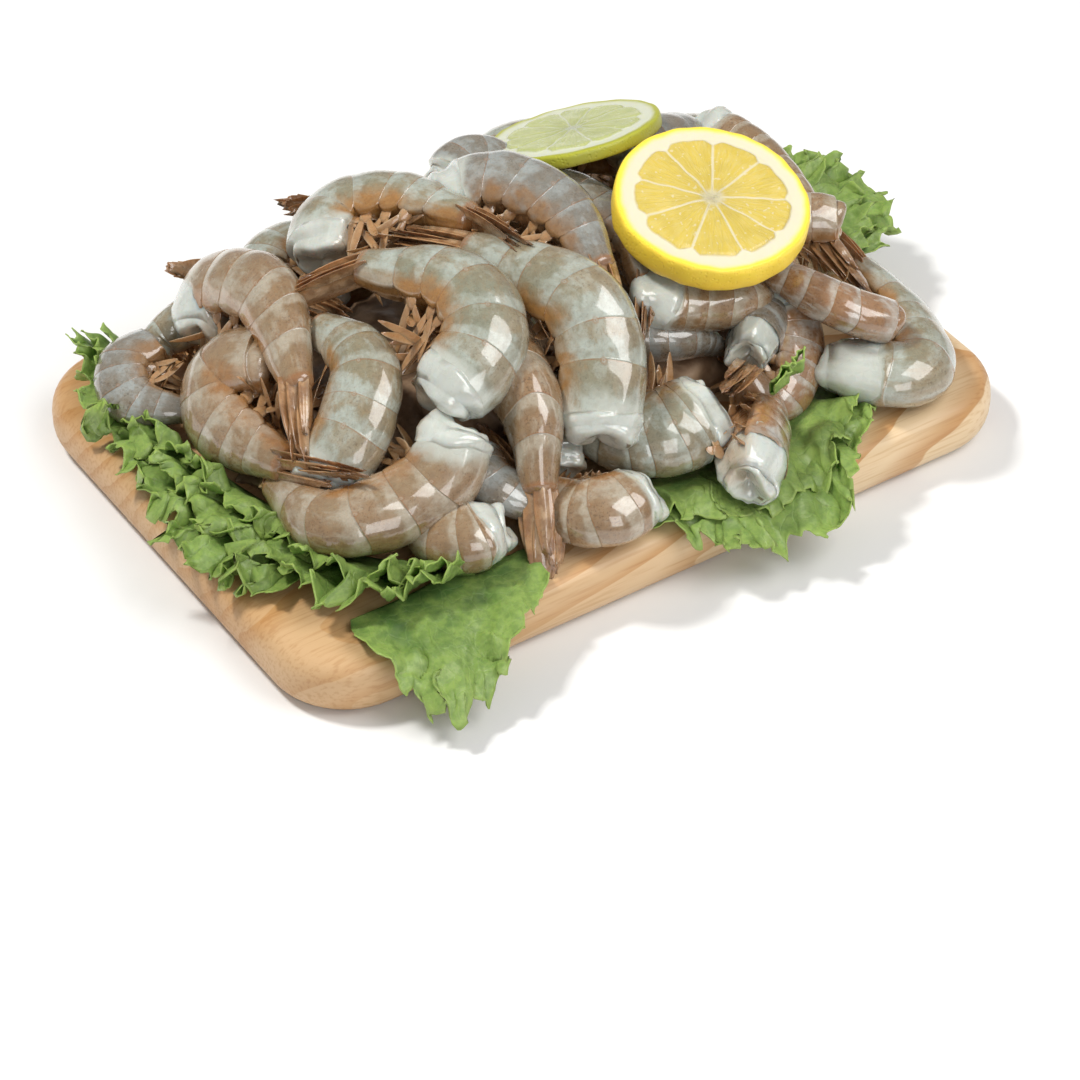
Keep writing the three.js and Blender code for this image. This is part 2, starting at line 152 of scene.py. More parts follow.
# Lettuce: name, points of the inner edge, points of the free edge, then the waves' height and number, the
# frills' height, the longest frill's length, and the layers.
LEAVES = (
    ("left", ((-98, 76, 21), (-106, 40, 21), (-104, 10, 21), (-98, -16, 21), (-90, -42, 21)),
     ((-113, 86, 26), (-123, 58, 25), (-129, 30, 24), (-131, 2, 24), (-134, -24, 22), (-122, -52, 22)),
     4, 8, 3.4, 15, 3),
    ("front_frill", ((-96, -34, 21), (-86, -50, 21), (-74, -60, 21), (-60, -70, 21)),
     ((-116, -48, 27), (-111, -66, 27), (-96, -76, 28), (-76, -78, 29)), 5, 4, 3.6, 14, 2),
    ("front", ((-106, -70, 21), (-86, -70, 21), (-64, -68, 21), (-44, -72, 21)),
     ((-111, -80, 22), (-106, -95, 18), (-97, -112, 7), (-85, -110, 8), (-72, -104, 15), (-48, -87, 22)),
     3, 3, 1.3, 26, 1),
    ("right", ((-4, -64, 21), (20, -68, 21), (48, -62, 21), (76, -56, 21), (90, -60, 21)),
     ((-10, -84, 22), (8, -100, 14), (30, -108, 11), (47, -108, 13), (61, -94, 22), (86, -72, 22)),
     4, 5, 1.8, 20, 2),
    ("back_right", ((112, 36, 24), (114, 20, 24), (114, 4, 24), (112, -12, 23)),
     ((133, 41, 30), (145, 27, 27), (149, 8, 22), (141, -6, 21), (127, -15, 23)), 3, 5, 2.6, 15, 2),
    ("back", ((-56, 70, 21), (-20, 72, 21), (10, 72, 21), (34, 72, 21)),
     ((-64, 86, 25), (-32, 101, 15), (0, 103, 13), (40, 88, 23)), 4, 6, 2.8, 15, 2),
    ("sprig", ((44, -70, 40), (54, -66, 40)), ((41, -77, 48), (58, -70, 49)), 1, 2, 2.4, 7, 2),
)

# Each shell tone's colours along the back, in the pale clouds, in the bands and at the belly, and how
# strong its bands and its specks are.
TONES = {
    "tan": ((0.24, 0.15, 0.075), (0.46, 0.405, 0.315), (0.29, 0.175, 0.085), (0.36, 0.17, 0.055), 0.85, 0.6),
    "green": ((0.25, 0.185, 0.11), (0.44, 0.475, 0.42), (0.3, 0.215, 0.11), (0.37, 0.185, 0.055), 0.55, 0.7),
    "grey": ((0.2, 0.165, 0.13), (0.35, 0.37, 0.355), (0.215, 0.17, 0.115), (0.3, 0.165, 0.07), 0.7, 0.8),
    "brown": ((0.27, 0.145, 0.07), (0.5, 0.47, 0.42), (0.31, 0.16, 0.065), (0.38, 0.19, 0.075), 0.95, 0.6),
}
# The colours of a plate's rear edge, and of the meat that shows through the first plate.
EDGE_LINE = (0.3, 0.13, 0.045)
MEAT_THROUGH_SHELL = (0.52, 0.54, 0.48)
# Added to the tint of a shrimp whose cut end is covered with shell.
COVERED = 2.0


def colour_setting(name, description, default):
    """A colour that a user can change."""
    return FloatVectorProperty(name=name, description=description, subtype="COLOR", default=default)


def length_setting(name, description, default):
    """A length that a user can change, in metres."""
    return FloatProperty(name=name, description=description, default=default, subtype="DISTANCE",
                         unit="LENGTH")


def power_setting(name, description, default):
    """A light's power that a user can change, in watts."""
    return FloatProperty(name=name, description=description, default=default, unit="POWER")


def share_setting(name, description, default):
    """A number that a user can change."""
    return FloatProperty(name=name, description=description, default=default)


class ShrimpSettings(bpy.types.PropertyGroup):
    """Sizes and colours of the shrimps."""

    plate_step: length_setting(
        "Plate step", "How far a shell plate's rear edge stands over the next plate", 0.12 * MM)
    meat_out: share_setting("Meat length", "How far the cut meat stands out, in body heights", 0.2)
    fan_length: share_setting("Fan length", "Length of the tail fan, in body heights", 1.05)
    leg_length: share_setting("Leg length", "Length of the swimming legs, in body heights", 0.6)
    tan: colour_setting("Sand shell", "Colour of the sand-coloured shells", (0.3, 0.215, 0.125))
    green: colour_setting("Green shell", "Colour of the grey-green shells", (0.25, 0.255, 0.185))
    grey: colour_setting("Grey shell", "Colour of the grey shells", (0.235, 0.23, 0.205))
    brown: colour_setting("Brown shell", "Colour of the orange-brown shells", (0.33, 0.2, 0.12))
    meat: colour_setting("Meat", "Colour of the raw meat", (0.57, 0.6, 0.555))
    limb: colour_setting("Legs and fan", "Colour of the legs and of the tail fan", (0.46, 0.26, 0.12))


class LeafSettings(bpy.types.PropertyGroup):
    """Sizes and colours of the lettuce."""

    thickness: length_setting("Thickness", "Thickness of a leaf", 0.38 * MM)
    step: length_setting("Grid step", "Distance between points along a leaf's edge", 0.6 * MM)
    bright: colour_setting("Bright green", "Colour near the free edge", (0.28, 0.39, 0.095))
    # Painted shade: this deep green is laid inside the leaf, towards its inner edge, and in small patches.
    shaded_green: colour_setting("Deep green", "Colour of the folds", (0.055, 0.12, 0.028))


class CitrusSettings(bpy.types.PropertyGroup):
    """Colours of the two slices."""

    lemon_rind: colour_setting("Lemon rind", "Colour of the lemon's rind", (1.0, 0.72, 0.07))
    lemon_flesh: colour_setting("Lemon flesh", "Colour of the lemon's flesh", (0.66, 0.5, 0.09))
    lime_rind: colour_setting("Lime rind", "Colour of the lime's rind", (0.4, 0.41, 0.04))
    lime_flesh: colour_setting("Lime flesh", "Colour of the lime's flesh", (0.46, 0.5, 0.2))


class BoardSettings(bpy.types.PropertyGroup):
    """Colours of the board."""

    light: colour_setting("Light wood", "Colour of the pale wood", (0.77, 0.6, 0.385))
    # This colour is also painted as shade towards the board's left end.
    warm: colour_setting("Warm wood", "Colour of the darker growth rings", (0.5, 0.26, 0.095))


class StageSettings(bpy.types.PropertyGroup):
    """Floor and light."""

    floor: colour_setting("Floor", "Colour of the floor", (0.84, 0.84, 0.84))
    softbox: power_setting("Softbox", "Power of the large light to the right of the camera", 7.4)
    rear: power_setting("Rear light", "Power of the light that casts the shadow", 15.5)
    fill: power_setting("Fill light", "Power of the light to the left of the camera", 3.4)
    sky: share_setting("Surroundings", "Strength of the light from all round", 0.3)


def unit(vectors):
    """Vectors divided by their lengths."""
    return vectors / np.maximum(np.linalg.norm(vectors, axis=-1, keepdims=True), 1e-12)


def pushed(points, direction, amount):
    """Points moved along a direction, each by its own amount."""
    return points + direction * amount[..., None]


def ease(low, high, value):
    """0 below low, 1 above high, and three t squared less two t cubed between them."""
    t = np.clip((value - low) / (high - low), 0.0, 1.0)
    return t * t * (3.0 - 2.0 * t)


def ripple(seed, terms, along, lowest, highest):
    """A smooth random line: a sum of sines of random frequency and phase, about -1 to 1."""
    draw = np.random.default_rng(seed)
    total = np.zeros_like(along, dtype=float)
    for _ in range(terms):
        total += np.sin(2 * np.pi * (draw.uniform(lowest, highest) * along + draw.random()))
    return total / math.sqrt(terms)


def relief(seed, terms, points, wavelength):
    """A smooth random field in space: a sum of sines of dot products with random wave vectors, about -1 to
    1."""
    draw = np.random.default_rng(seed)
    waves = unit(draw.normal(size=(terms, 3))) * draw.uniform(0.7, 1.4, (terms, 1)) * 2 * np.pi / wavelength
    phases = draw.uniform(0, 2 * np.pi, terms)
    return np.sin(points @ waves.T + phases).sum(axis=-1) / math.sqrt(terms)


def looked_up(at, places, rows):
    """Rows of three numbers that belong to places, interpolated at others."""
    return np.stack([np.interp(at, places, rows[:, k]) for k in range(3)], -1)


def smooth_line(points, places):
    """Points of a Catmull-Rom curve at shares of its length, and its length. Each stretch is half of
    2 p1 + (p2 - p0) t + (2 p0 - 5 p1 + 4 p2 - p3) t squared + (3 p1 - p0 - 3 p2 + p3) t cubed."""
    given = np.asarray(points, float)
    spread = np.vstack([2 * given[0] - given[1], given, 2 * given[-1] - given[-2]])
    t = np.linspace(0, 1, 60, endpoint=False)[:, None]
    stretches = [0.5 * (2 * p1 + (p2 - p0) * t + (2 * p0 - 5 * p1 + 4 * p2 - p3) * t ** 2
                        + (3 * p1 - p0 - 3 * p2 + p3) * t ** 3)
                 for p0, p1, p2, p3 in zip(spread[:-3], spread[1:-2], spread[2:-1], spread[3:])]
    dense = np.vstack(stretches + [given[-1:]])
    reach = np.concatenate([[0.0], np.cumsum(np.linalg.norm(np.diff(dense, axis=0), axis=1))])
    return looked_up(np.asarray(places) * reach[-1], reach, dense), reach[-1]


class Surface:
    """Closed bodies, each a grid of points in millimetres, gathered into one mesh."""

    def __init__(self):
        self.bodies = []
        self.count = 0

    def keep(self, points, corners, sizes, uvs, slots, value):
        """Stores one closed body. Its faces are turned outward by the sign of its volume, the sum over the
        faces of the first corner times the cross products of the next ones."""
        starts = np.cumsum(sizes) - sizes
        a, b, c = (points[corners[starts + k]] for k in range(3))
        d = points[corners[starts + sizes - 1]]
        if (a * (np.cross(b, c) + np.cross(c, d))).sum() < 0:
            order = np.repeat(2 * starts + sizes - 1, sizes) - np.arange(len(corners))
            corners = corners[order]
            uvs = uvs[order]
        self.bodies.append((points, corners + self.count, sizes, uvs, np.broadcast_to(slots, sizes.shape),
                            np.full(len(points), value)))
        self.count += len(points)

    def tube(self, grid, u, v, slots=0, value=0.5):
        """Rings of points, closed by a point at either end. u is given for each row, v for each column and
        one more; slots is a material number, or one for each row."""
        rows, columns = grid.shape[:2]
        points = np.vstack([grid.reshape(-1, 3), grid[0].mean(axis=0), grid[-1].mean(axis=0)])
        r, c = np.meshgrid(np.arange(rows - 1), np.arange(columns), indexing="ij")
        row = np.stack([r, r, r + 1, r + 1], -1).ravel()
        column = np.stack([c, c + 1, c + 1, c], -1).ravel()
        corners = [row * columns + column % columns]
        uvs = [np.stack([u[row], v[column]], -1)]
        c = np.arange(columns)
        for end, order in ((0, (c + 1, c + 1, c)), (rows - 1, (c, c, c + 1))):
            column = np.stack(order, -1)
            fan = end * columns + column % columns
            fan[:, 0] = rows * columns + (end > 0)
            corners.append(fan.ravel())
            uvs.append(np.stack([np.full(column.size, u[end]), v[column.ravel()]], -1))
        sizes = np.repeat([4, 3], [(rows - 1) * columns, 2 * columns])
        if np.ndim(slots):
            slots = np.repeat([*slots[:-1], slots[0], slots[-1]], columns)
        self.keep(points, np.concatenate(corners), sizes, np.concatenate(uvs), slots, value)

    def sheet(self, middle, normals, half, u, v, slots=0, value=0.5):
        """A thin sheet: a grid pushed out by half its thickness to either side and closed along its
        border."""
        rows, columns = middle.shape[:2]
        points = np.concatenate([middle + normals * half, middle - normals * half]).reshape(-1, 3)
        count = rows * columns
        numbers = np.arange(count).reshape(rows, columns)
        a = numbers[:-1, :-1].ravel()
        upper = np.stack([a, a + 1, a + columns + 1, a + columns], -1)
        border = np.concatenate([numbers[0, :-1], numbers[:-1, -1], numbers[-1, :0:-1], numbers[:0:-1, 0]])
        ahead = np.roll(border, -1)
        rim = np.stack([ahead, border, border + count, ahead + count], -1)
        quads = np.vstack([upper, upper[:, ::-1] + count, rim])
        flat = np.stack(np.meshgrid(u, v, indexing="ij"), -1).reshape(-1, 2)
        self.keep(points, quads.ravel(), np.full(len(quads), 4), flat[quads.ravel() % count], slots, value)

    def piece(self, name, materials, node, slot):
        """Makes the mesh object, which stands for a node of the frame, and hides that node.
        Its slot is not used."""
        points, corners, sizes, uvs, slots, values = map(np.concatenate, zip(*self.bodies))
        mesh = bpy.data.meshes.new(name)
        mesh.vertices.add(len(points))
        mesh.vertices.foreach_set("co", (points * MM).astype(np.float32).ravel())
        mesh.loops.add(len(corners))
        mesh.loops.foreach_set("vertex_index", corners.astype(np.int32))
        mesh.polygons.add(len(sizes))
        mesh.polygons.foreach_set("loop_start", (np.cumsum(sizes) - sizes).astype(np.int32))
        mesh.polygons.foreach_set("material_index", slots.astype(np.int32))
        mesh.polygons.foreach_set("use_smooth", np.ones(len(sizes), dtype=bool))
        layer = mesh.uv_layers.new(name="surface")
        layer.data.foreach_set("uv", uvs.astype(np.float32).ravel())
        tint = mesh.attributes.new("tint", "FLOAT", "POINT")
        tint.data.foreach_set("value", values.astype(np.float32))
        mesh.update(calc_edges=True)
        if mesh.validate():
            raise RuntimeError(f"{name}: the mesh had faulty faces")
        for material in materials:
            mesh.materials.append(material)
        piece = bpy.data.objects.new(name, mesh)
        bpy.context.scene.collection.objects.link(piece)
        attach(piece, BODY_NAME)
        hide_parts(node)


class Flow:
    """What a shader node puts out. It adds, subtracts and multiplies like a number, each time by a Math
    node."""

    def __init__(self, socket):
        self.socket = socket

    def __add__(self, other):
        return maths("ADD", self, other)

    def __sub__(self, other):
        return maths("SUBTRACT", self, other)

    def __mul__(self, other):
        return maths("MULTIPLY", self, other)

    def __abs__(self):
        return maths("ABSOLUTE", self)


def put(sockets, values):
    """Links sockets, given by name or number, to Flows, or sets their values. A colour gets its alpha."""
    for key, value in values.items():
        socket = sockets[key]
        if isinstance(value, Flow):
            socket.id_data.links.new(value.socket, socket)
        elif socket.type == "RGBA":
            socket.default_value = (*tuple(value)[:3], 1.0)
        else:
            socket.default_value = value


def node(tree, kind, inputs=None, **settings):
    """Adds a shader node."""
    made = tree.nodes.new("ShaderNode" + kind)
    for key, value in settings.items():
        setattr(made, key, value)
    put(made.inputs, inputs or {})
    return made


def flow(kind, inputs, out=0, **settings):
    """What a new node makes of its inputs, in the tree that they are in."""
    tree = next(value.socket.id_data for value in inputs.values() if isinstance(value, Flow))
    return Flow(node(tree, kind, inputs, **settings).outputs[out])


def maths(operation, *values):
    """A Math node's result."""
    return flow("Math", dict(enumerate(values)), operation=operation)


def distance(x, y):
    """The root of the sum of two squares."""
    return maths("SQRT", x * x + y * y)


def between(value, low, high, bottom=0.0, top=1.0):
    """A value carried smoothly from low..high to bottom..top, and held there outside."""
    return flow("MapRange", {"Value": value, "From Min": low, "From Max": high, "To Min": bottom,
                             "To Max": top}, interpolation_type="SMOOTHSTEP")


def painted(colour, *coats):
    """A colour under others. Each coat is its share and its colour, and "MULTIPLY" where it tints what is
    below."""
    for share, over, *blend_type in coats:
        colour = flow("Mix", {0: share, 6: colour, 7: over}, 2, data_type="RGBA",
                      blend_type=blend_type[0] if blend_type else "MIX")
    return colour


def noise(vector, scale, detail=3.0, roughness=0.5, distortion=0.0, out=0):
    """A noise value over the surface, about 0.25 to 0.75."""
    return flow("TexNoise", {"Vector": vector, "Scale": scale, "Detail": detail, "Roughness": roughness,
                             "Distortion": distortion}, out)


def vector(x, y, z=0.0):
    """Three numbers as one place."""
    return flow("CombineXYZ", {0: x, 1: y, 2: z})


def numbers_of(place):
    """The three numbers of a place."""
    return [Flow(socket) for socket in node(place.socket.id_data, "SeparateXYZ", {0: place}).outputs]


def place_in_object(tree):
    """Object coordinates."""
    return Flow(node(tree, "TexCoord").outputs["Object"])


def surface_place(tree):
    """The two numbers of the piece's own UV map."""
    return numbers_of(Flow(node(tree, "UVMap", uv_map="surface").outputs[0]))[:2]


def tint_of(tree):
    """The piece's own tint: a shrimp's tone drawn at random and whether its cut end is covered, and on a leaf
    the painted light of its layer.
    """
    return Flow(node(tree, "Attribute", attribute_name="tint").outputs["Fac"])


def bump(height, depth, strength=1.0):
    """A normal from a height, depth in millimetres."""
    return flow("Bump", {"Height": height, "Strength": strength, "Distance": depth * MM})


def group(name, inputs, outputs):
    """An empty shader node group. Its sockets are names by kind, 'Color' or 'Float'. Gives its tree, what
    comes in by name, and the sockets for its results."""
    tree = bpy.data.node_groups.new(name, "ShaderNodeTree")
    for in_out, kinds in (("INPUT", inputs), ("OUTPUT", outputs)):
        for kind, titles in kinds.items():
            for title in titles:
                tree.interface.new_socket(title, in_out=in_out, socket_type="NodeSocket" + kind)
    given = {socket.name: Flow(socket) for socket in tree.nodes.new("NodeGroupInput").outputs if socket.name}
    return tree, given, tree.nodes.new("NodeGroupOutput").inputs


def from_group(tree, shared, inputs):
    """What a shared group placed in a material gives, by name."""
    made = tree.nodes.new("ShaderNodeGroup")
    made.node_tree = shared
    put(made.inputs, inputs)
    return {socket.name: Flow(socket) for socket in made.outputs}


def new_material(name):
    """A material with only a Principled BSDF and its output, its tree, and the shader's inputs."""
    material = bpy.data.materials.new(name)
    material.use_nodes = True
    tree = material.node_tree
    tree.nodes.clear()
    shader = node(tree, "BsdfPrincipled")
    tree.links.new(shader.outputs[0], node(tree, "OutputMaterial").inputs[0])
    return material, tree, shader.inputs


def wet_film():
    """Fine unevenness of a wet surface: soft swells and small wrinkles. Gives height and roughness."""
    tree, given, result = group("wet_film", {"Float": ("Scale", "Wrinkles")},
                                {"Float": ("Height", "Roughness")})
    where = flow("VectorMath", {0: place_in_object(tree), "Scale": given["Scale"]}, operation="SCALE")
    wrinkle = noise(where, 480.0, 3.0, 0.55, 0.5)
    put(result, {"Height": noise(where, 130.0, 2.0) + wrinkle * given["Wrinkles"],
                 "Roughness": between(wrinkle, 0.3, 0.7, 0.22, 0.4)})
    return tree


def shell_pattern():
    """A shrimp's shell by plate and by height on the body: brown along the back, speckled bands towards each
    plate's rear edge and pale ones at its front, pale clouds on the sides that are partly the shell's own
    tone and partly painted sheen, orange down to the belly, and a ringed hinge low on each side. The first
    plate clears towards the meat."""
    tree, given, result = group(
        "shell_pattern",
        {"Color": ("Shell", "Back", "Pale", "Band", "Belly", "Line", "Meat"), "Float": ("Bands", "Specks")},
        {"Color": ("Color",)})
    where = place_in_object(tree)
    along, around = surface_place(tree)
    tint = tint_of(tree)
    big = noise(where, 55.0, 3.0, 0.55, 0.6)
    middle = noise(where, 125.0, 4.0, 0.6, 0.5)
    small = noise(where, 430.0, 4.0, 0.65)
    fine = noise(where, 1400.0, 1.0)
    streak = noise(vector(along * 0.8, around * 9.0, tint), 2.2, 4.0, 0.6)

    in_plate = maths("FRACT", along)
    wavy = in_plate + (middle - 0.5) * 0.7
    side = abs(around)
    height = side + (middle - 0.5) * 0.2
    # Pale clouds: partly the shell's own pale tone and partly painted sheen, soft reflections of the light
    # laid into the colour.
    cloud = between(big, 0.46, 0.56) * between(streak, 0.38, 0.56, 0.35, 0.9)
    back = between(height, 0.17, 0.07) * between(big, 0.4, 0.6, 1.0, 0.45) * given["Bands"]
    band = (between(wavy, 0.38, 0.6) * between(height, 0.3, 0.16, 0.15, 1.0)
            * between(big, 0.38, 0.58, 0.4, 1.0) * given["Bands"])
    front = between(wavy, 0.36, 0.16) * between(streak, 0.4, 0.6, 0.85, 0.35)
    low = between(height, 0.24, 0.36) * between(big, 0.42, 0.58, 1.0, 0.45)
    line = (between(in_plate, 0.955, 0.985) * between(in_plate, 1.0, 0.985, 0.3, 1.0)
            * between(middle, 0.4, 0.6, 0.1, 0.7))
    speck = between(fine, 0.57, 0.67) * given["Specks"] * maths("MAXIMUM", band, 0.25)
    hinge = distance(maths("PINGPONG", along + 0.035, 0.5) * 12.0, (side - 0.19) * 90.0)
    clear = between(along + (big - 0.5) * 1.6, 0.45, 0.0, 0.0, 0.9) * between(tint, COVERED, 1.0)
    put(result, {"Color": painted(
        given["Shell"],
        (between(tint, 0.1, 1.0, 0.0, 0.3), given["Band"]),
        (cloud, given["Pale"]),
        (back, given["Back"]),
        (band, given["Band"]),
        (front, given["Pale"]),
        (between(streak, 0.52, 0.64, 0.0, 0.4), given["Pale"]),
        (between(streak, 0.46, 0.34, 0.0, 0.4), given["Band"]),
        (low, given["Belly"]),
        (between(side, 0.38, 0.43, 0.0, 0.9), given["Belly"]),
        (between(small, 0.4, 0.64, 0.0, 0.4), (0.68, 0.62, 0.56), "MULTIPLY"),
        (line, given["Line"]),
        (speck, (0.35, 0.29, 0.25), "MULTIPLY"),
        (between(hinge, 1.25, 0.75, 0.0, 0.35), given["Line"]),
        (between(hinge, 0.7, 0.45, 0.0, 0.4), given["Pale"]),
        (between(hinge, 0.3, 0.15, 0.0, 0.5), given["Line"]),
        (between(along, 5.86, 5.98, 0.0, 0.6), given["Line"]),
        (clear, given["Meat"]))})
    return tree


def wet_look(look, colour, film, depth, coat, flesh, flesh_depth):
    """A colour under wet unevenness and a coat of water, with some light going through the flesh."""
    put(look, {"Base Color": colour, "Roughness": film["Roughness"], "Normal": bump(film["Height"], depth),
               "Coat Weight": coat, "Coat Roughness": 0.07, "Coat IOR": 1.75,
               "Subsurface Weight": flesh, "Subsurface Radius": (1.0, 0.6, 0.4),
               "Subsurface Scale": flesh_depth * MM})


def shell_material(tone, pattern, film, settings):
    """Thin wet shell in one of four tones."""
    material, tree, look = new_material("shell_" + tone)
    names = ("Back", "Pale", "Band", "Belly", "Bands", "Specks")
    shell = from_group(tree, pattern, {"Shell": getattr(settings, tone), "Line": EDGE_LINE,
                                       "Meat": MEAT_THROUGH_SHELL, **dict(zip(names, TONES[tone]))})
    wet = from_group(tree, film, {"Scale": 1.0, "Wrinkles": 0.2})
    wet_look(look, shell["Color"], wet, depth=0.5, coat=1.0, flesh=0.2, flesh_depth=2.5)
    return material


def meat_material(film, settings):
    """Raw meat where the head was cut off: milky white, greyer in patches, with a small vein, and painted
    shade as a tan underside and a darker hollow in the cut."""
    material, tree, look = new_material("raw_meat")
    along, around = surface_place(tree)
    patch = noise(place_in_object(tree), 85.0, 3.0)
    thread = noise(vector(along * 1.5, around * 16.0), 1.6, 3.0)
    off_vein = abs(around * 1.6) + abs(along + 0.72)
    colour = painted(
        settings.meat,
        (between(patch, 0.42, 0.66, 0.0, 0.5), (0.45, 0.46, 0.4)),
        (between(thread, 0.45, 0.7, 0.0, 0.25), (0.72, 0.74, 0.69)),
        # Painted shade: tan on the meat's underside.
        (between(abs(around), 0.33, 0.45, 0.0, 0.75), (0.4, 0.31, 0.21)),
        # Painted shade: darker beige in the hollow of the cut.
        (between(abs(along), 0.72, 0.95, 0.0, 0.45), (0.46, 0.4, 0.3)),
        (between(off_vein, 0.08, 0.04, 0.0, 0.8), (0.13, 0.06, 0.025)))
    wet = from_group(tree, film, {"Scale": 0.9, "Wrinkles": 0.2})
    wet_look(look, colour, wet, depth=0.35, coat=1.0, flesh=0.5, flesh_depth=4.0)
    return material


def limb_material(name, film, settings, ridges, dark):
    """Thin light-brown legs and fan blades, with paler ribs and darker borders that run along them."""
    material, tree, look = new_material(name)
    along, around = surface_place(tree)
    where = place_in_object(tree)
    colour = painted(
        settings.limb,
        (between(noise(where, 70.0, 2.0), 0.4, 0.6, 0.0, dark), (0.27, 0.13, 0.05)),
        (between(maths("PINGPONG", around * ridges, 0.5), 0.25, 0.5, 0.0, 0.7), (0.53, 0.38, 0.24)),
        (between(noise(where, 240.0, 3.0), 0.42, 0.6, 0.0, dark), (0.2, 0.095, 0.04)),
        (between(along, 0.6, 1.0, 0.0, dark), (0.2, 0.09, 0.035)))
    wet = from_group(tree, film, {"Scale": 1.4, "Wrinkles": 0.5})
    wet_look(look, colour, wet, depth=0.3, coat=0.8, flesh=0.25, flesh_depth=1.5)
    return material


# Shares of the body's length at which the six shell plates begin and end, and places of the rings on a plate.
PLATES = (0.1, 0.22, 0.36, 0.52, 0.66, 0.79, 1.0)
PLATE_ROWS = (0, 0.04, 0.12, 0.25, 0.4, 0.55, 0.7, 0.82, 0.91, 0.96, 0.99, 1)
# Half-height and half-width of the body, in body heights, at shares of its length.
BODY_PLACE = (0, 0.2, 0.42, 0.62, 0.82, 1)
BODY_HEIGHT = (0.48, 0.5, 0.49, 0.43, 0.33, 0.22)
BODY_WIDTH = (0.38, 0.4, 0.39, 0.34, 0.26, 0.18)
TALL = np.polyfit(BODY_PLACE, BODY_HEIGHT, 4)
WIDE = np.polyfit(BODY_PLACE, BODY_WIDTH, 4)
# The belly's depth below the middle line, as a share of the back's height above it.
BELLY = 0.86
# How far plate edges bow back on the sides, as a share of the body's length.
BOW = 0.035
# In radians: angles from the back to a plate's lower edge and to the meat's, and the rounded edge's width.
PLATE_EDGE = 2.62
MEAT_EDGE = 2.5
EDGE_WIDTH = 0.16
# Rings that close the tail's root: how far past the body's end, as a share of its length, and their size.
TAIL_ROOT = ((0.008, 0.94), (0.018, 0.75), (0.026, 0.5), (0.03, 0.2))
# Points round a ring of the body.
COLUMNS = 48


class Spine:
    """A shrimp's middle line with the directions along it, to its side and towards its back."""

    def __init__(self, points):
        self.places = np.linspace(0, 1, 200)
        self.line, self.length = smooth_line(points, self.places)
        steps = np.diff(np.asarray(points, float), axis=0)
        self.side = unit(np.cross(steps[0], steps[1]) + np.cross(steps[1], steps[2]))
        self.along = unit(np.gradient(self.line, axis=0))

    def at(self, places):
        """Centre, along, across and back at shares of the length. Past both ends the line runs on
        straight."""
        inside = np.clip(places, 0, 1)
        along = unit(looked_up(inside, self.places, self.along))
        centre = pushed(looked_up(inside, self.places, self.line), along, (places - inside) * self.length)
        across = unit(self.side - along * (along @ self.side)[..., None])
        return centre, along, across, np.cross(along, across)


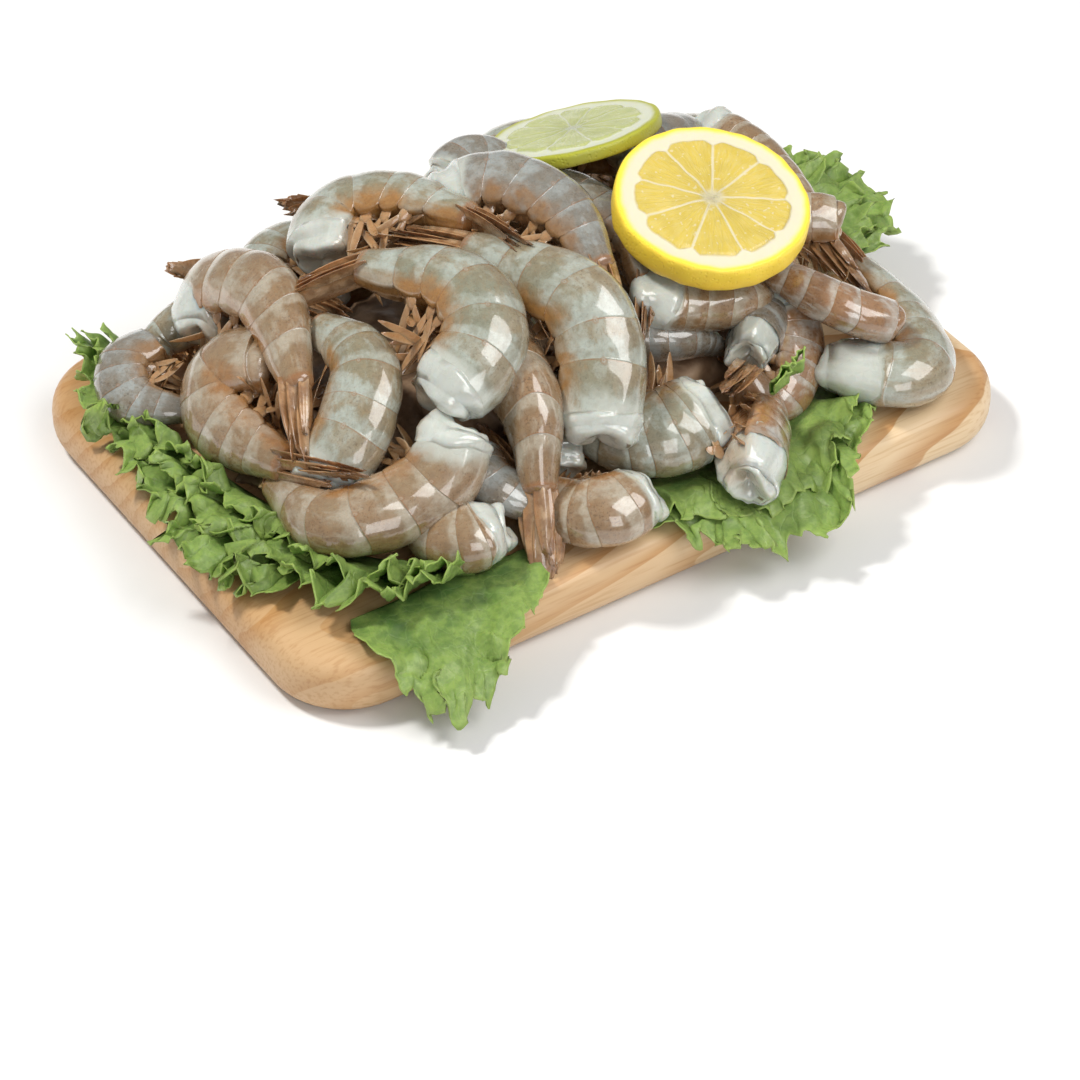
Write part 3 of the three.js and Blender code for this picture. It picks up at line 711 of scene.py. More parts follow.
def body_grid(spine, height, step, meat_out, bare, lumps, seed):
    """Rows of rings from the middle of the cut meat to the tail's root. A ring is an ellipse, flatter at
    the belly, whose two sides end in a rounded plate edge, with the belly drawn in between them. Along a
    plate the ring grows by the cube of the place in the plate times the step, and falls back at its rear
    edge. The shell begins at a slanting, uneven line. Ahead of it the meat tapers to the cut, a dome whose
    rings shrink by the root of the cosine of an angle whose sine carries them forward, further on some
    sides than on others. The dome has a hollow in its middle, shaped as a bell curve, a notch at the belly,
    and lumps from a random field."""
    angle = np.linspace(-np.pi, np.pi, COLUMNS, endpoint=False)[None, :]
    side = np.abs(angle)
    draw = np.random.default_rng(seed)

    def rings(place, lift=0.0, pleura=0.0, edge=MEAT_EDGE, scale=1.0, past=0.0):
        """Rings at places, with their plate edges as strong as pleura, scaled, and moved on past their
        places."""
        turned = place + BOW * np.sin(angle) ** 2 * np.clip(4 * place * (1 - place), 0, 1)
        inside = np.clip(turned, 0, 1)
        tall = np.polyval(TALL, inside) * height + lift
        wide = np.polyval(WIDE, inside) * height + lift
        drawn_in = ease(edge, edge + EDGE_WIDTH, side) * pleura
        flare = 0.03 * height * np.exp(-((side - edge + 0.1) / 0.14) ** 2) * pleura
        x = (wide * (1 - 0.07 * np.cos(angle)) * (1 - 0.16 * drawn_in) + flare) * np.sin(angle)
        y = tall * np.cos(angle) * np.where(np.cos(angle) < 0, BELLY, 1.0) * (1 - 0.22 * drawn_in)
        centre, _, across, back = spine.at(turned + past)
        return pushed(pushed(centre, across, x * scale), back, y * scale)

    plate = np.repeat(np.arange(6), len(PLATE_ROWS))
    t = np.tile(PLATE_ROWS, 6).astype(float)[:, None]
    cuts = np.array(PLATES[:-1]) + np.concatenate([[0], draw.uniform(-0.012, 0.012, 5)])
    lean = draw.uniform(0, 2 * np.pi)
    turn = angle[0]
    front = bare * (1 + 0.35 * np.sin(turn + lean) + 0.1 * np.sin(3 * turn + lean)) \
        + 0.006 * lumps * np.sin(7 * turn + 2 * lean)
    starts = np.vstack([front] + [np.full(COLUMNS, cut) for cut in cuts[1:]])
    ends = np.vstack([starts[1:], np.ones((1, COLUMNS))])
    last = (plate == 5)[:, None]
    lift = (step * t ** 3 + 0.011 * height * np.sin(np.pi * t)) * np.where(last, 1 - t, 1)
    edge = PLATE_EDGE - 0.26 * (1 - np.sin(np.pi * t) ** 0.5)
    shell = rings(starts[plate] + (ends - starts)[plate] * t, lift, np.where(last, 1 - t, 1.0), edge)
    u_shell = plate + np.where(t[:, 0] == 1, 0.9999, t[:, 0])

    # The meat runs under the shell's front edge, along to the cut, and then over the dome.
    s = np.linspace(0, 1, 5)[:, None]
    taper = 0.08 + 0.5 * bare
    flush = np.array([1.0, 1.01, 1.01, 1.0, 0.98])[:, None] * (1 - taper * s ** 1.5)
    sides = rings(front[None] * (1 - s), pleura=1 - 0.7 * s, scale=flush)
    bend = np.linspace(0.12, 0.5 * np.pi * 0.985, 13)[:, None]
    notch = 1 - 0.3 * np.exp(-((np.pi - side) / 0.42) ** 2) * np.sin(bend)
    share = 0.975 * (1 - taper) * np.cos(bend) ** 0.5 * notch
    hollow = (0.06 + 0.2 * lumps) * np.exp(-(share / 0.6) ** 2)
    rim = meat_out * (1 + 0.3 * np.sin(2 * angle + lean))
    cut = np.zeros((1, COLUMNS))
    dome = rings(cut, pleura=0.3, scale=share)
    dome = pushed(dome, -spine.at(cut)[1], (rim * np.sin(bend) - hollow) * height)
    meat = np.concatenate([sides, dome])
    outward = unit(meat - spine.at(np.array([0.06]))[0])
    rough = 0.042 * relief(seed, 9, meat, 0.5 * height) \
        + 0.012 * lumps * relief(seed + 50, 9, meat, 0.16 * height)
    meat = pushed(meat, outward, rough * height * ease(-0.5, 3.0, np.arange(len(meat)))[:, None])

    root = [rings(np.ones((1, COLUMNS)), scale=scale, past=past) for past, scale in TAIL_ROOT]
    grid = np.concatenate([meat[::-1], shell, *root])
    u = np.concatenate([-np.linspace(1, 0.02, len(meat)), u_shell, [5.999, 5.9992, 5.9995, 5.9997]])
    slots = np.repeat([1 if bare else 0, 0], [len(meat), len(grid) - len(meat)])
    return grid, u, np.linspace(-0.5, 0.5, COLUMNS + 1), slots


def blade_grid(root, along, across, up, length, width, thick, blunt, droop, rows=14, columns=12, neck=0.4):
    """A fan blade or a leg: flat rings along a drooping line. Its half-width rises with the sine of the
    place and falls off at the tip, and it is thickest along its middle rib."""
    u = np.linspace(0, 1, rows)[:, None]
    angle = np.linspace(0, 2 * np.pi, columns, endpoint=False)[None, :]
    half = width * (neck + (1 - neck) * np.sin(np.minimum(1, u / 0.62) * np.pi / 2))
    half = half * np.sqrt(np.clip(1 - u ** blunt, 0.015, 1))
    rib = thick * (1 - 0.5 * u) * (0.4 + 0.9 * np.exp(-(np.cos(angle) / 0.3) ** 2))
    grid = pushed(pushed(root, along, length * u), across, half * np.cos(angle))
    grid = pushed(grid, up, rib * np.sin(angle) - droop * length * u ** 2)
    return grid, u[:, 0], np.linspace(0, 1, columns + 1)


def ridged(grid, u, v, up, ridges, depth):
    """A blade with ridges along it: the size of a sine across it, lower at both ends."""
    across = np.abs(np.sin(ridges * np.pi * v[:-1]))[None, :]
    return pushed(grid, up, across * depth * np.sin(np.pi * u)[:, None])


def turned_about(axis, degrees, *vectors):
    """Vectors turned about an axis by Rodrigues' formula."""
    a = math.radians(degrees)
    return [v * math.cos(a) + np.cross(axis, v) * math.sin(a) + axis * np.dot(axis, v) * (1 - math.cos(a))
            for v in vectors]


# Blades of the tail fan: the middle one, and those to one side. Each has its turn as a share of the fan's
# spread, its place across in body heights, its share of the fan's length, then half-width, bluntness,
# height above the middle and thickness.
MIDDLE_BLADE = (0.0, 0.0, 0.7, 0.13, 1.6, 0.13, 0.06)
SIDE_BLADES = ((0.4, 0.07, 1.0, 0.17, 4.0, 0.04, 0.04), (0.9, 0.12, 0.92, 0.19, 3.4, -0.04, 0.04))


def add_fan(surface, spine, height, bend, spread, length, seed):
    """The tail fan: a pointed middle blade on top of two pairs of broad ones that overlap like a
    half-closed fan. The tips are ragged: they are moved along by a random field times the cube of the
    place."""
    draw = np.random.default_rng(seed)
    root, along, across, back = (part[0] for part in spine.at(np.array([1.0])))
    along, back = turned_about(spine.side, bend, along, back)
    blades = [MIDDLE_BLADE]
    for sign in (-1, 1):
        blades += [(sign * turn, sign * off, *rest) for turn, off, *rest in SIDE_BLADES]
    for turn, off, size, width, blunt, up, thick in blades:
        degrees = turn * spread + (draw.uniform(-2.0, 2.0) if turn else 0)
        ahead, beside = turned_about(back, degrees, along, across)
        start = root + (back * up - ahead * 0.1 - across * off) * height
        beside, rise = turned_about(ahead, draw.uniform(-4, 4) + np.sign(turn) * 10, beside, back)
        grid, u, v = blade_grid(start, ahead, beside, rise, (size * length + 0.1) * height, width * height,
                                thick * height, blunt, draw.uniform(-0.02, 0.12), 20, 20, neck=0.6)
        grid = pushed(grid, ahead, 0.09 * height * relief(seed, 6, grid, 2.5) * u[:, None] ** 3)
        surface.tube(ridged(grid, u, v, rise, 6, 0.01 * height), u, v, slots=3)


# The legs, in body heights: how far to the side their roots are, the stem's length, half-width and
# thickness, and the blade's half-width and thickness.
LEG_BESIDE = 0.17
STEM_SIZE = (0.22, 0.085, 0.04)
LEG_BLADE = (0.065, 0.012)
# How deep the legs' roots are, as a share of the belly's depth.
LEG_DEPTH = 0.8
# How much of a leg blade is tried, where the whole would reach into another shrimp.
BLADE_TRIES = (1.0, 0.65, 0.35)


def add_legs(surface, spine, height, length, inside_others, seed):
    """Five pairs of swimming legs under the plates: a short flat stem, and two broad blades that part from
    it. A leg leans forward or back and is turned about the body's height, so that its blades show
    broadside."""
    draw = np.random.default_rng(seed)
    stem, stem_width, stem_thick = (size * height for size in STEM_SIZE)
    blade_width, blade_thick = (size * height for size in LEG_BLADE)
    for k in range(5):
        place = 0.5 * (PLATES[k] + PLATES[k + 1])
        centre, along, across, back = (part[0] for part in spine.at(np.array([place])))
        low = np.interp(place, BODY_PLACE, BODY_HEIGHT) * height * BELLY * LEG_DEPTH
        lean = draw.uniform(5, 50)
        for sign in (-1, 1):
            root = centre - back * low + across * sign * LEG_BESIDE * height
            ahead, rise = turned_about(across, lean + draw.uniform(-8, 8), -back, along)
            ahead, beside, rise = turned_about(back, sign * draw.uniform(30, 95), ahead, across, rise)
            grid, u, v = blade_grid(root - ahead * 0.06 * height, ahead, beside, rise, stem, stem_width,
                                    stem_thick, blunt=3.0, droop=0.0, rows=7, columns=10)
            surface.tube(grid, u, v, slots=2)
            for blade in (-1, 1):
                forward, wide = turned_about(rise, blade * draw.uniform(8, 24), ahead, beside)
                start = root + ahead * (stem - 0.14 * height) + beside * blade * 0.03 * height
                size = length * height * draw.uniform(0.8, 1.2) * (1.0 - 0.06 * k)
                droop = draw.uniform(-0.5, 0.6)
                for tried in BLADE_TRIES:
                    grid, u, v = blade_grid(start, forward, wide, rise, size * tried, blade_width,
                                            blade_thick, blunt=1.8, droop=droop, rows=10, columns=10)
                    if not inside_others(grid[3:].mean(axis=1)):
                        break
                surface.tube(ridged(grid, u, v, rise, 3.5, 0.008 * height), u, v, slots=2)


def others_near(spines, heights, own):
    """A test of points: whether any lies inside one of the other shrimps, by its distance from their
    spines."""
    places = np.linspace(0, 1, 30)
    others = [number for number in range(len(spines)) if number != own]
    centres = np.concatenate([spines[number].at(places)[0] for number in others])
    sizes = np.concatenate([np.interp(places, BODY_PLACE, BODY_WIDTH) * heights[number] for number in others])

    def test(points):
        gaps = np.linalg.norm(points[:, None] - centres[None], axis=-1) - sizes[None]
        return bool((gaps < 0).any())

    return test


# Dents in the bodies: their depth and their size, in millimetres.
DENTS = (0.16, 13.0)
# First numbers of the random draws: one for all tints, and one for each shrimp's legs and fan.
TINT_SEED = 11
LEG_SEED = 100
FAN_SEED = 200


class SHRIMPBOARD_OT_shrimps(bpy.types.Operator):
    """Makes every shrimp with its shell plates, cut meat, legs and tail fan"""

    bl_idname = "shrimpboard.shrimps"
    bl_label = "Shrimps"

    def execute(self, context):
        settings = context.scene.shrimp_settings
        film = wet_film()
        pattern = shell_pattern()
        shells = {tone: shell_material(tone, pattern, film, settings) for tone in TONES}
        meat = meat_material(film, settings)
        legs = limb_material("swimming_legs", film, settings, 1.0, 0.25)
        fan = limb_material("tail_fan", film, settings, 2.0, 0.65)
        tints = np.random.default_rng(TINT_SEED).random(len(SHRIMPS))
        spines = [Spine(row[1:5]) for row in SHRIMPS]
        heights = [row[5] for row in SHRIMPS]
        for number, (name, *_, height, bend, spread, lumps, bare, tone) in enumerate(SHRIMPS):
            spine = spines[number]
            surface = Surface()
            grid, u, v, slots = body_grid(spine, height, settings.plate_step / MM, settings.meat_out,
                                          bare, lumps, number)
            outward = unit(grid - grid.mean(axis=1, keepdims=True))
            grid = pushed(grid, outward, DENTS[0] * relief(number, 8, grid, DENTS[1]))
            surface.tube(grid, u, v, slots, tints[number] + (0 if bare else COVERED))
            add_legs(surface, spine, height, settings.leg_length * LEG_SHARES.get(name, 1.0),
                     others_near(spines, heights, number), LEG_SEED + number)
            add_fan(surface, spine, height, bend, spread, settings.fan_length, FAN_SEED + number)
            surface.piece(name, (shells[tone], meat, legs, fan), "shrimp_" + name, "shell_" + tone)
        return {"FINISHED"}


def leaf_material(settings):
    """Lettuce: bright towards the free edge, with faint branching veins. Painted shade makes it deep green
    inside and in small patches, and painted light makes the upper layers brighter."""
    material, tree, look = new_material("lettuce_leaf")
    where = place_in_object(tree)
    out, _ = surface_place(tree)
    patch = noise(where, 90.0, 4.0, 0.55)
    fine = noise(where, 420.0, 3.0, 0.6)
    wobble = noise(where, 160.0, 2.0, out="Color")
    bent = flow("VectorMath", {0: wobble, 1: (0.006, 0.006, 0.006), 2: where}, operation="MULTIPLY_ADD")
    cells = flow("TexVoronoi", {"Vector": bent, "Scale": 170.0}, feature="DISTANCE_TO_EDGE")
    vein = between(cells, 0.07, 0.0)
    put(look, {
        "Base Color": painted(
            # Painted shade: deep green inside the leaf, giving way to bright green towards the free edge.
            settings.shaded_green,
            (between(out, 0.2, 0.95, 0.0, 0.7), settings.bright),
            (between(patch, 0.38, 0.62, 0.0, 0.6), settings.bright),
            # Painted light: the upper layers of a leaf are brighter.
            (tint_of(tree) * 0.25, settings.bright),
            # Painted shade in small patches.
            (between(fine, 0.4, 0.65, 0.0, 0.35), settings.shaded_green),
            (vein * 0.16, (0.3, 0.42, 0.14)),
            (between(out, 0.95, 1.0, 0.0, 0.6), (0.32, 0.43, 0.1))),
        "Normal": bump(patch * 1.2 + fine * 0.4 - vein * 0.12, 0.5),
        "Roughness": between(fine, 0.35, 0.65, 0.36, 0.52),
        "Subsurface Weight": 0.12,
        "Subsurface Radius": (0.5, 1.0, 0.2),
        "Subsurface Scale": 2.0 * MM})
    return material


def over_board(x, y):
    """Distance in millimetres inside the board's outline seen from above, negative outside it."""
    dx = np.maximum(np.abs(x) - (BOARD_SIZE[0] / 2 - BOARD_CORNER), 0)
    dy = np.maximum(np.abs(y) - (BOARD_SIZE[1] / 2 - BOARD_CORNER), 0)
    return BOARD_CORNER - np.hypot(dx, dy)


# How far a shrimp counts for the leaves below it, as a share of its half-height.
LEAF_UNDER = 0.92


def under_shrimps(points):
    """Points of a leaf kept below the shrimps. Each shrimp counts as a row of balls along its spine, and a
    point within a ball seen from above goes no higher than the ball's lower half."""
    places = np.linspace(0, 1.05, 34)
    centres = np.concatenate([Spine(row[1:5]).at(places)[0] for row in SHRIMPS])
    shares = np.interp(places, BODY_PLACE, BODY_HEIGHT)
    sizes = np.concatenate([shares * row[5] * LEAF_UNDER for row in SHRIMPS])
    flat = points.reshape(-1, 3).copy()
    apart = ((flat[:, None, :2] - centres[None, :, :2]) ** 2).sum(axis=-1)
    rise = sizes[None] ** 2 - apart
    limits = np.where(rise > 0, centres[None, :, 2] - np.sqrt(np.maximum(rise, 0)), np.inf)
    flat[:, 2] = np.minimum(flat[:, 2], limits.min(axis=1))
    return flat.reshape(points.shape)


def above_board(points):
    """Points of a leaf kept above the board's top and its rounded edge, and above the table beside it. The
    change is gradual: half of the height above plus the root of its square and a little more."""
    inside = over_board(points[..., 0], points[..., 1])
    off_top = (BOARD_EDGE - np.clip(inside, 0, BOARD_EDGE)) / BOARD_EDGE
    rounded = np.sqrt(np.clip(1 - off_top ** 2, 0, 1))
    floor = np.where(inside > 0, BOARD_SIZE[2] * (0.5 + 0.5 * rounded) + 0.6, 0.8)
    above = points[..., 2] - floor
    points[..., 2] = floor + 0.5 * (above + np.sqrt(above ** 2 + 0.8))
    return points


# The power of the place at which a leaf drops from its inner edge to its free one.
DROOP = 2.5
# Frills on a leaf: each one's length and height as shares of the longest's, and the power at which it grows.
FRILLS = ((1.0, 1.0, 1.5), (0.54, 0.6, 2.6), (0.28, 0.16, 4.0))
# The length over which the frills grow from a leaf's two ends, in millimetres.
LEAF_END = 20
# How much narrower and higher each layer of a leaf is than the one below and how much more tint it has,
# the tint being painted light that makes upper layers brighter; and the lowest layer's painted light.
LAYER_STEP = {"share": 0.27, "lift": 3.0, "tint": 0.35}
LOWEST_LAYER_LIGHT = 0.3


def leaf_grid(inner, outer, wave, waves, frill, ruffle, step, seed, share, lift, under):
    """A leaf between its two edges, the free one at a share of the way to the outer edge and lifted. Its
    height follows the place between the edges to the power of the droop, plus the solid's waves. Frills of
    three lengths, the longest of them the ruffle, are laid on it: a sine upwards, a cosine outwards, and a
    sine of twice the angle along the edge, which makes the folds lean over. All grow towards the free edge,
    which is cut in uneven arches, and are lower at the leaf's two ends. With under set, the leaf is kept
    below the shrimps."""
    length = smooth_line(outer, np.linspace(0, 1, 40))[1]
    along = np.linspace(0, 1, int(length / step) + 1)
    near = smooth_line(inner, along)[0]
    far = near + (smooth_line(outer, along)[0] - near) * share
    rows = max(18, int(np.linalg.norm(far - near, axis=1).mean() / (1.4 * step)))
    out = np.linspace(0, 1, rows)[:, None]
    low_frill = min(1, frill / 3)

    arch = np.abs(np.sin(np.pi * (length / (0.85 * ruffle)) * along
                         + 2.6 * ripple(seed, 6, along, length / 60, length / 25)))
    teeth = 0.05 + 0.07 * ripple(seed + 1, 6, along, length / 25, length / 10) - 0.1 * arch \
        + 0.02 * ripple(seed + 2, 6, along, length / 6, length / 3)
    reach = out * (1 + (teeth * low_frill)[None, :] * out ** 3)
    points = near[None] + (far - near)[None] * reach[..., None]
    points[..., 2] = near[:, 2] + (far - near)[:, 2] * reach ** DROOP + lift * ease(0, 0.6, reach) \
        + wave * reach ** 2 * (0.5 + 0.5 * np.sin(2 * np.pi * waves * along))

    outward = unit(far - near)[None]
    edge = unit(np.gradient(far, axis=0))[None]
    up = unit(np.cross(outward, edge))
    up = up * np.sign(up[..., 2:3] + 1e-9)
    flat = points.copy()
    ends = 0.25 + 0.75 * ease(0, LEAF_END / length, np.minimum(along, 1 - along))[None]
    for number, (part, depth, growth) in enumerate(FRILLS):
        wavelength = ruffle * part
        count = length / wavelength
        bend = 2 * np.pi * (count * along[None] + 0.3 * out * (number + 1)) \
            + 1.8 * relief(seed + 40 + number, 8, flat, 16.0) \
            + 2.2 * ripple(seed + 10 + number, 5, along, count / 8, count / 3)[None]
        size = 0.8 + 0.5 * ripple(seed + 20 + number, 4, along, length / 70, length / 25)
        grown = reach ** growth * np.clip(size, 0.15, 1.5)[None] * ends
        points = pushed(points, up, frill * depth * grown * np.sin(bend))
        points = pushed(points, edge, 0.13 * wavelength * low_frill * grown * np.sin(2 * bend))
        points = pushed(points, outward, 0.5 * frill * depth * grown * np.cos(bend + 1.0))
    crumple = relief(seed + 30, 10, points, 13.0) + 0.25 * relief(seed + 31, 10, points, 6.0)
    points = pushed(points, up, (0.22 * frill + 0.35) * crumple * np.minimum(1, reach * 1.5))
    points = above_board(under_shrimps(points) if under else points)
    normals = unit(np.cross(np.gradient(points, axis=0), np.gradient(points, axis=1)))
    return points, normals, out[:, 0], along


class SHRIMPBOARD_OT_lettuce(bpy.types.Operator):
    """Makes the frilled lettuce leaves round the heap"""

    bl_idname = "shrimpboard.lettuce"
    bl_label = "Lettuce"

    def execute(self, context):
        settings = context.scene.leaf_settings
        material = leaf_material(settings)
        for number, (name, inner, outer, wave, waves, frill, ruffle, layers) in enumerate(LEAVES):
            surface = Surface()
            for layer in range(layers):
                points, normals, out, along = leaf_grid(
                    inner, outer, wave, waves, frill, ruffle, settings.step / MM,
                    seed=50 * number + 7 * layer, share=1.0 - LAYER_STEP["share"] * layer,
                    lift=LAYER_STEP["lift"] * layer + 0.5 * frill, under=name != "sprig")
                surface.sheet(points, normals, 0.5 * settings.thickness / MM, out, along,
                              value=LOWEST_LAYER_LIGHT + LAYER_STEP["tint"] * layer)
            surface.piece("leaf_" + name, (material,), "lettuce_" + name, "lettuce")
        return {"FINISHED"}


def citrus_material(name, rind, flesh, pith):
    """A cut citrus slice: juicy segments between pale walls, a star of pith in the middle and a ring of it
    outside, and a rind with fine pores. The first number of the place is the distance from the middle in
    radii, and more than 1 on the side; the second counts segments round it."""
    material, tree, look = new_material(name)
    where = place_in_object(tree)
    radius, turn = surface_place(tree)
    across = maths("PINGPONG", turn, 0.5)
    grain = noise(vector(radius * 3.4, turn * 7.0), 1.8, 3.0, 0.6, 0.5)
    cloud = noise(where, 150.0, 3.0)
    # Painted glints: small pale specks on the flesh, laid in as highlights.
    painted_glint = between(noise(where, 620.0, 1.0), 0.66, 0.72)
    wall = between(across * maths("MAXIMUM", radius, 0.03), 0.03, 0.008)
    star = between(radius + (cloud - 0.5) * 0.16, 0.15, 0.06)
    uneven = radius + (cloud - 0.5) * 0.06
    outer = between(uneven + between(across, 0.2, 0.0) * 0.055, 0.8, 0.83)
    pores = between(flow("TexVoronoi", {"Vector": where, "Scale": 800.0}), 0.0, 0.45)
    skin = between(radius, 0.97, 1.02)
    pale = 0.62 * np.array(flesh) + 0.26 * np.array((1.0, 0.95, 0.6))
    # Painted shade: the lower part of the rind's side is darker.
    shaded_rind = np.array(rind) * (0.86, 0.7, 0.8)
    put(look, {
        "Base Color": painted(
            flesh,
            (between(grain, 0.35, 0.68, 0.0, 0.55), pale),
            (between(cloud, 0.42, 0.65, 0.0, 0.35), 0.8 * np.array(flesh)),
            # Painted glints.
            (painted_glint * 0.5, pith),
            (maths("MAXIMUM", wall, star) * 0.75, pith),
            (outer, pith),
            (between(uneven, 0.915, 1.0), rind),
            # Painted shade on the lower part of the side.
            (between(radius, 1.1, 1.4, 0.0, 0.55), shaded_rind)),
        "Normal": bump(pores * (skin * 0.3) + grain * maths("SUBTRACT", 1.0, outer) * 0.9, 0.5),
        "Roughness": between(outer, 0.0, 1.0, 0.26, 0.5),
        "Coat Weight": 0.2,
        "Coat Roughness": 0.15,
        "Subsurface Weight": 0.2,
        "Subsurface Radius": (1.0, 0.75, 0.25),
        "Subsurface Scale": 2.5 * MM})
    return material


# How far a slice's side bulges past its faces, in millimetres, and the number of rings on the side.
SLICE_BULGE = 1.3
SIDE_ROWS = 17


def slice_grid(spec, walls, seed, columns=252):
    """A disc as rings from the middle of its upper face, over its side, to the middle of its lower face.
    The flesh of each segment swells by the square root of the distance from its walls, the pith dips a
    little, and the side bulges as a circle's arc."""
    draw = np.random.default_rng(seed)
    radius, half = spec["radius"], spec["thickness"] / 2
    turn = np.linspace(0, 360, columns, endpoint=False)
    count = np.interp(turn, [walls[-1] - 360, *walls, walls[0] + 360], np.arange(-1, len(walls) + 1))
    across = 0.5 - np.abs(count % 1 - 0.5)
    shares = np.concatenate([np.linspace(0.012, 0.79, 28), np.linspace(0.805, 0.965, 9)])
    off_wall = np.clip(across[None] * shares[:, None] * 2 * np.pi * radius / len(walls) / 1.3, 0, 1)
    corner = shares[:, None] + 0.055 * ease(0.2, 0.0, across)[None]
    swell = 0.45 * np.sqrt(off_wall) * ease(0.05, 0.16, shares)[:, None] * ease(0.82, 0.78, corner)
    face = swell - 0.25 * (ease(0.79, 0.84, shares) * ease(0.98, 0.9, shares))[:, None]
    arc = np.linspace(1, -1, SIDE_ROWS)
    face_radius = shares * (radius - SLICE_BULGE) / 0.99
    r = np.concatenate([face_radius, radius - SLICE_BULGE * np.abs(arc) ** 3.2, face_radius[::-1]])[:, None]
    side = np.broadcast_to(half * np.sin(arc * np.pi / 2)[:, None], (SIDE_ROWS, columns))
    z = np.concatenate([half + face, side, -half - face[::-1]])
    angle = np.radians(turn)[None]
    wobble = 1 + 0.007 * np.sin(3 * angle + draw.uniform(0, 6))
    wobble = wobble + 0.005 * np.sin(5 * angle + draw.uniform(0, 6))
    flat = np.stack([r * np.cos(angle) * wobble, r * np.sin(angle) * wobble, z], -1)
    flat = flat + relief(seed, 8, flat, 9.0)[..., None] * 0.12
    to_face = Vector((0, 0, 1)).rotation_difference(Vector(spec["face"]).normalized()).to_matrix()
    grid = flat @ np.array(to_face).T + np.array(spec["centre"], float)
    u = np.concatenate([shares, np.linspace(1.0, 1.4, SIDE_ROWS), shares[::-1]])
    return grid, u, np.append(count, count[0] + len(walls))


class SHRIMPBOARD_OT_citrus(bpy.types.Operator):
    """Makes the lemon slice and the lime slice"""

    bl_idname = "shrimpboard.citrus"
    bl_label = "Lemon and Lime"

    def execute(self, context):
        settings = context.scene.citrus_settings
        kinds = (("lemon", LEMON, LEMON_WALLS, settings.lemon_rind, settings.lemon_flesh, (0.73, 0.68, 0.5)),
                 ("lime", LIME, LIME_WALLS, settings.lime_rind, settings.lime_flesh, (0.62, 0.64, 0.5)))
        for number, (name, spec, walls, rind, flesh, pith) in enumerate(kinds):
            surface = Surface()
            surface.tube(*slice_grid(spec, walls, 7 + number))
            material = citrus_material(name + "_cut", rind, flesh, pith)
            surface.piece("slice_of_" + name, (material,), name + "_slice", name)
        return {"FINISHED"}


def wood_material(settings):
    """Light maple: growth rings drawn out along the board, fine pores in the same direction, and broad warm
    clouds, with painted shade that makes it warmer and darker towards its left end."""
    material, tree, look = new_material("maple")
    x, y, z = numbers_of(place_in_object(tree))
    long = vector(x * 0.16, y, z)
    cloud = noise(long, 14.0, 3.0)
    thread = noise(vector(x * 0.05, y, z), 900.0, 3.0)
    reach = distance((x + 0.062) * 0.3, y + (z * 0.8 + 0.052))
    rings = maths("FRACT", reach * 105.0 + noise(long, 22.0, 3.0, 0.5) * 3.4)
    late = between(rings, 0.45, 0.97) * between(rings, 1.0, 0.975)
    put(look, {
        "Base Color": painted(
            settings.light,
            # Painted shade: warmer and darker towards the board's left end, besides broad clouds.
            (between(x, 0.08, -0.1, 0.0, 0.6) + between(cloud, 0.36, 0.66, 0.0, 0.3), settings.warm),
            (late * between(cloud, 0.3, 0.6, 0.45, 0.95), settings.warm),
            (between(thread, 0.46, 0.7, 0.0, 0.55), (0.78, 0.66, 0.53), "MULTIPLY")),
        "Normal": bump(thread * 0.6 - late * 0.4, 0.12, 0.6),
        "Roughness": between(thread, 0.35, 0.7, 0.38, 0.52)})
    return material


def board_grid():
    """The board as outlines with round corners from the middle of its top to the middle of its underside.
    The edge is a rounded profile: its inset is the edge's reach times one less the root of one less the
    height above the middle, as a share of half the thickness, to a power that keeps the middle upright."""
    length, width, thickness = BOARD_SIZE
    arc = np.linspace(0, np.pi / 2, 14)
    turns = np.concatenate([arc + corner * np.pi / 2 for corner in range(4)])
    signs = np.array([(1, 1), (-1, 1), (-1, -1), (1, -1)])
    middle = np.repeat(signs, len(arc), axis=0) * (length / 2 - BOARD_CORNER, width / 2 - BOARD_CORNER)
    out = np.stack([np.cos(turns), np.sin(turns)], -1)
    steps = np.linspace(-1, 1, 23)
    edge = BOARD_EDGE * (1 - np.sqrt(1 - np.minimum(np.abs(steps), 0.9995) ** 2.6))
    shares = np.array([0.02, 0.4, 0.8, 0.97])
    sizes = np.concatenate([shares, np.ones(len(steps)), shares[::-1]])[:, None, None]
    insets = np.pad(edge, len(shares), constant_values=BOARD_EDGE)[:, None, None]
    heights = np.pad(thickness * (0.5 - 0.5 * steps), len(shares), constant_values=(thickness, 0))
    flat = (middle[None] + out[None] * (BOARD_CORNER - insets)) * sizes
    grid = np.concatenate([flat, np.broadcast_to(heights[:, None, None], (*flat.shape[:2], 1))], -1)
    return grid, np.linspace(0, 1, len(grid)), np.linspace(0, 1, grid.shape[1] + 1)


class SHRIMPBOARD_OT_board(bpy.types.Operator):
    """Makes the wooden board"""

    bl_idname = "shrimpboard.board"
    bl_label = "Board"

    def execute(self, context):
        surface = Surface()
        surface.tube(*board_grid())
        surface.piece("maple_board", (wood_material(context.scene.board_settings),), "board", "board_wood")
        return {"FINISHED"}


def mound_grid(spec):
    """The dark inside of the heap, which stands for shade: half an ellipsoid with folds, each ring drawn in
    by a random field's size."""
    height = np.linspace(0.5 * np.pi * 0.98, 0, 40)[:, None]
    angle = np.linspace(0, 2 * np.pi, 140, endpoint=False)[None]
    level = np.cos(height)
    grid = np.stack([level * np.cos(angle), level * np.sin(angle), np.sin(height) + 0 * angle], -1)
    grid = grid * np.array(spec["half"], float)
    grid = grid * (1 - 0.1 * np.abs(relief(3, 7, grid, 26.0))[..., None])
    underside = grid[-1:] * np.array([0.5, 0.5, 0.0])
    return np.concatenate([grid, underside]) + np.array(spec["centre"], float)


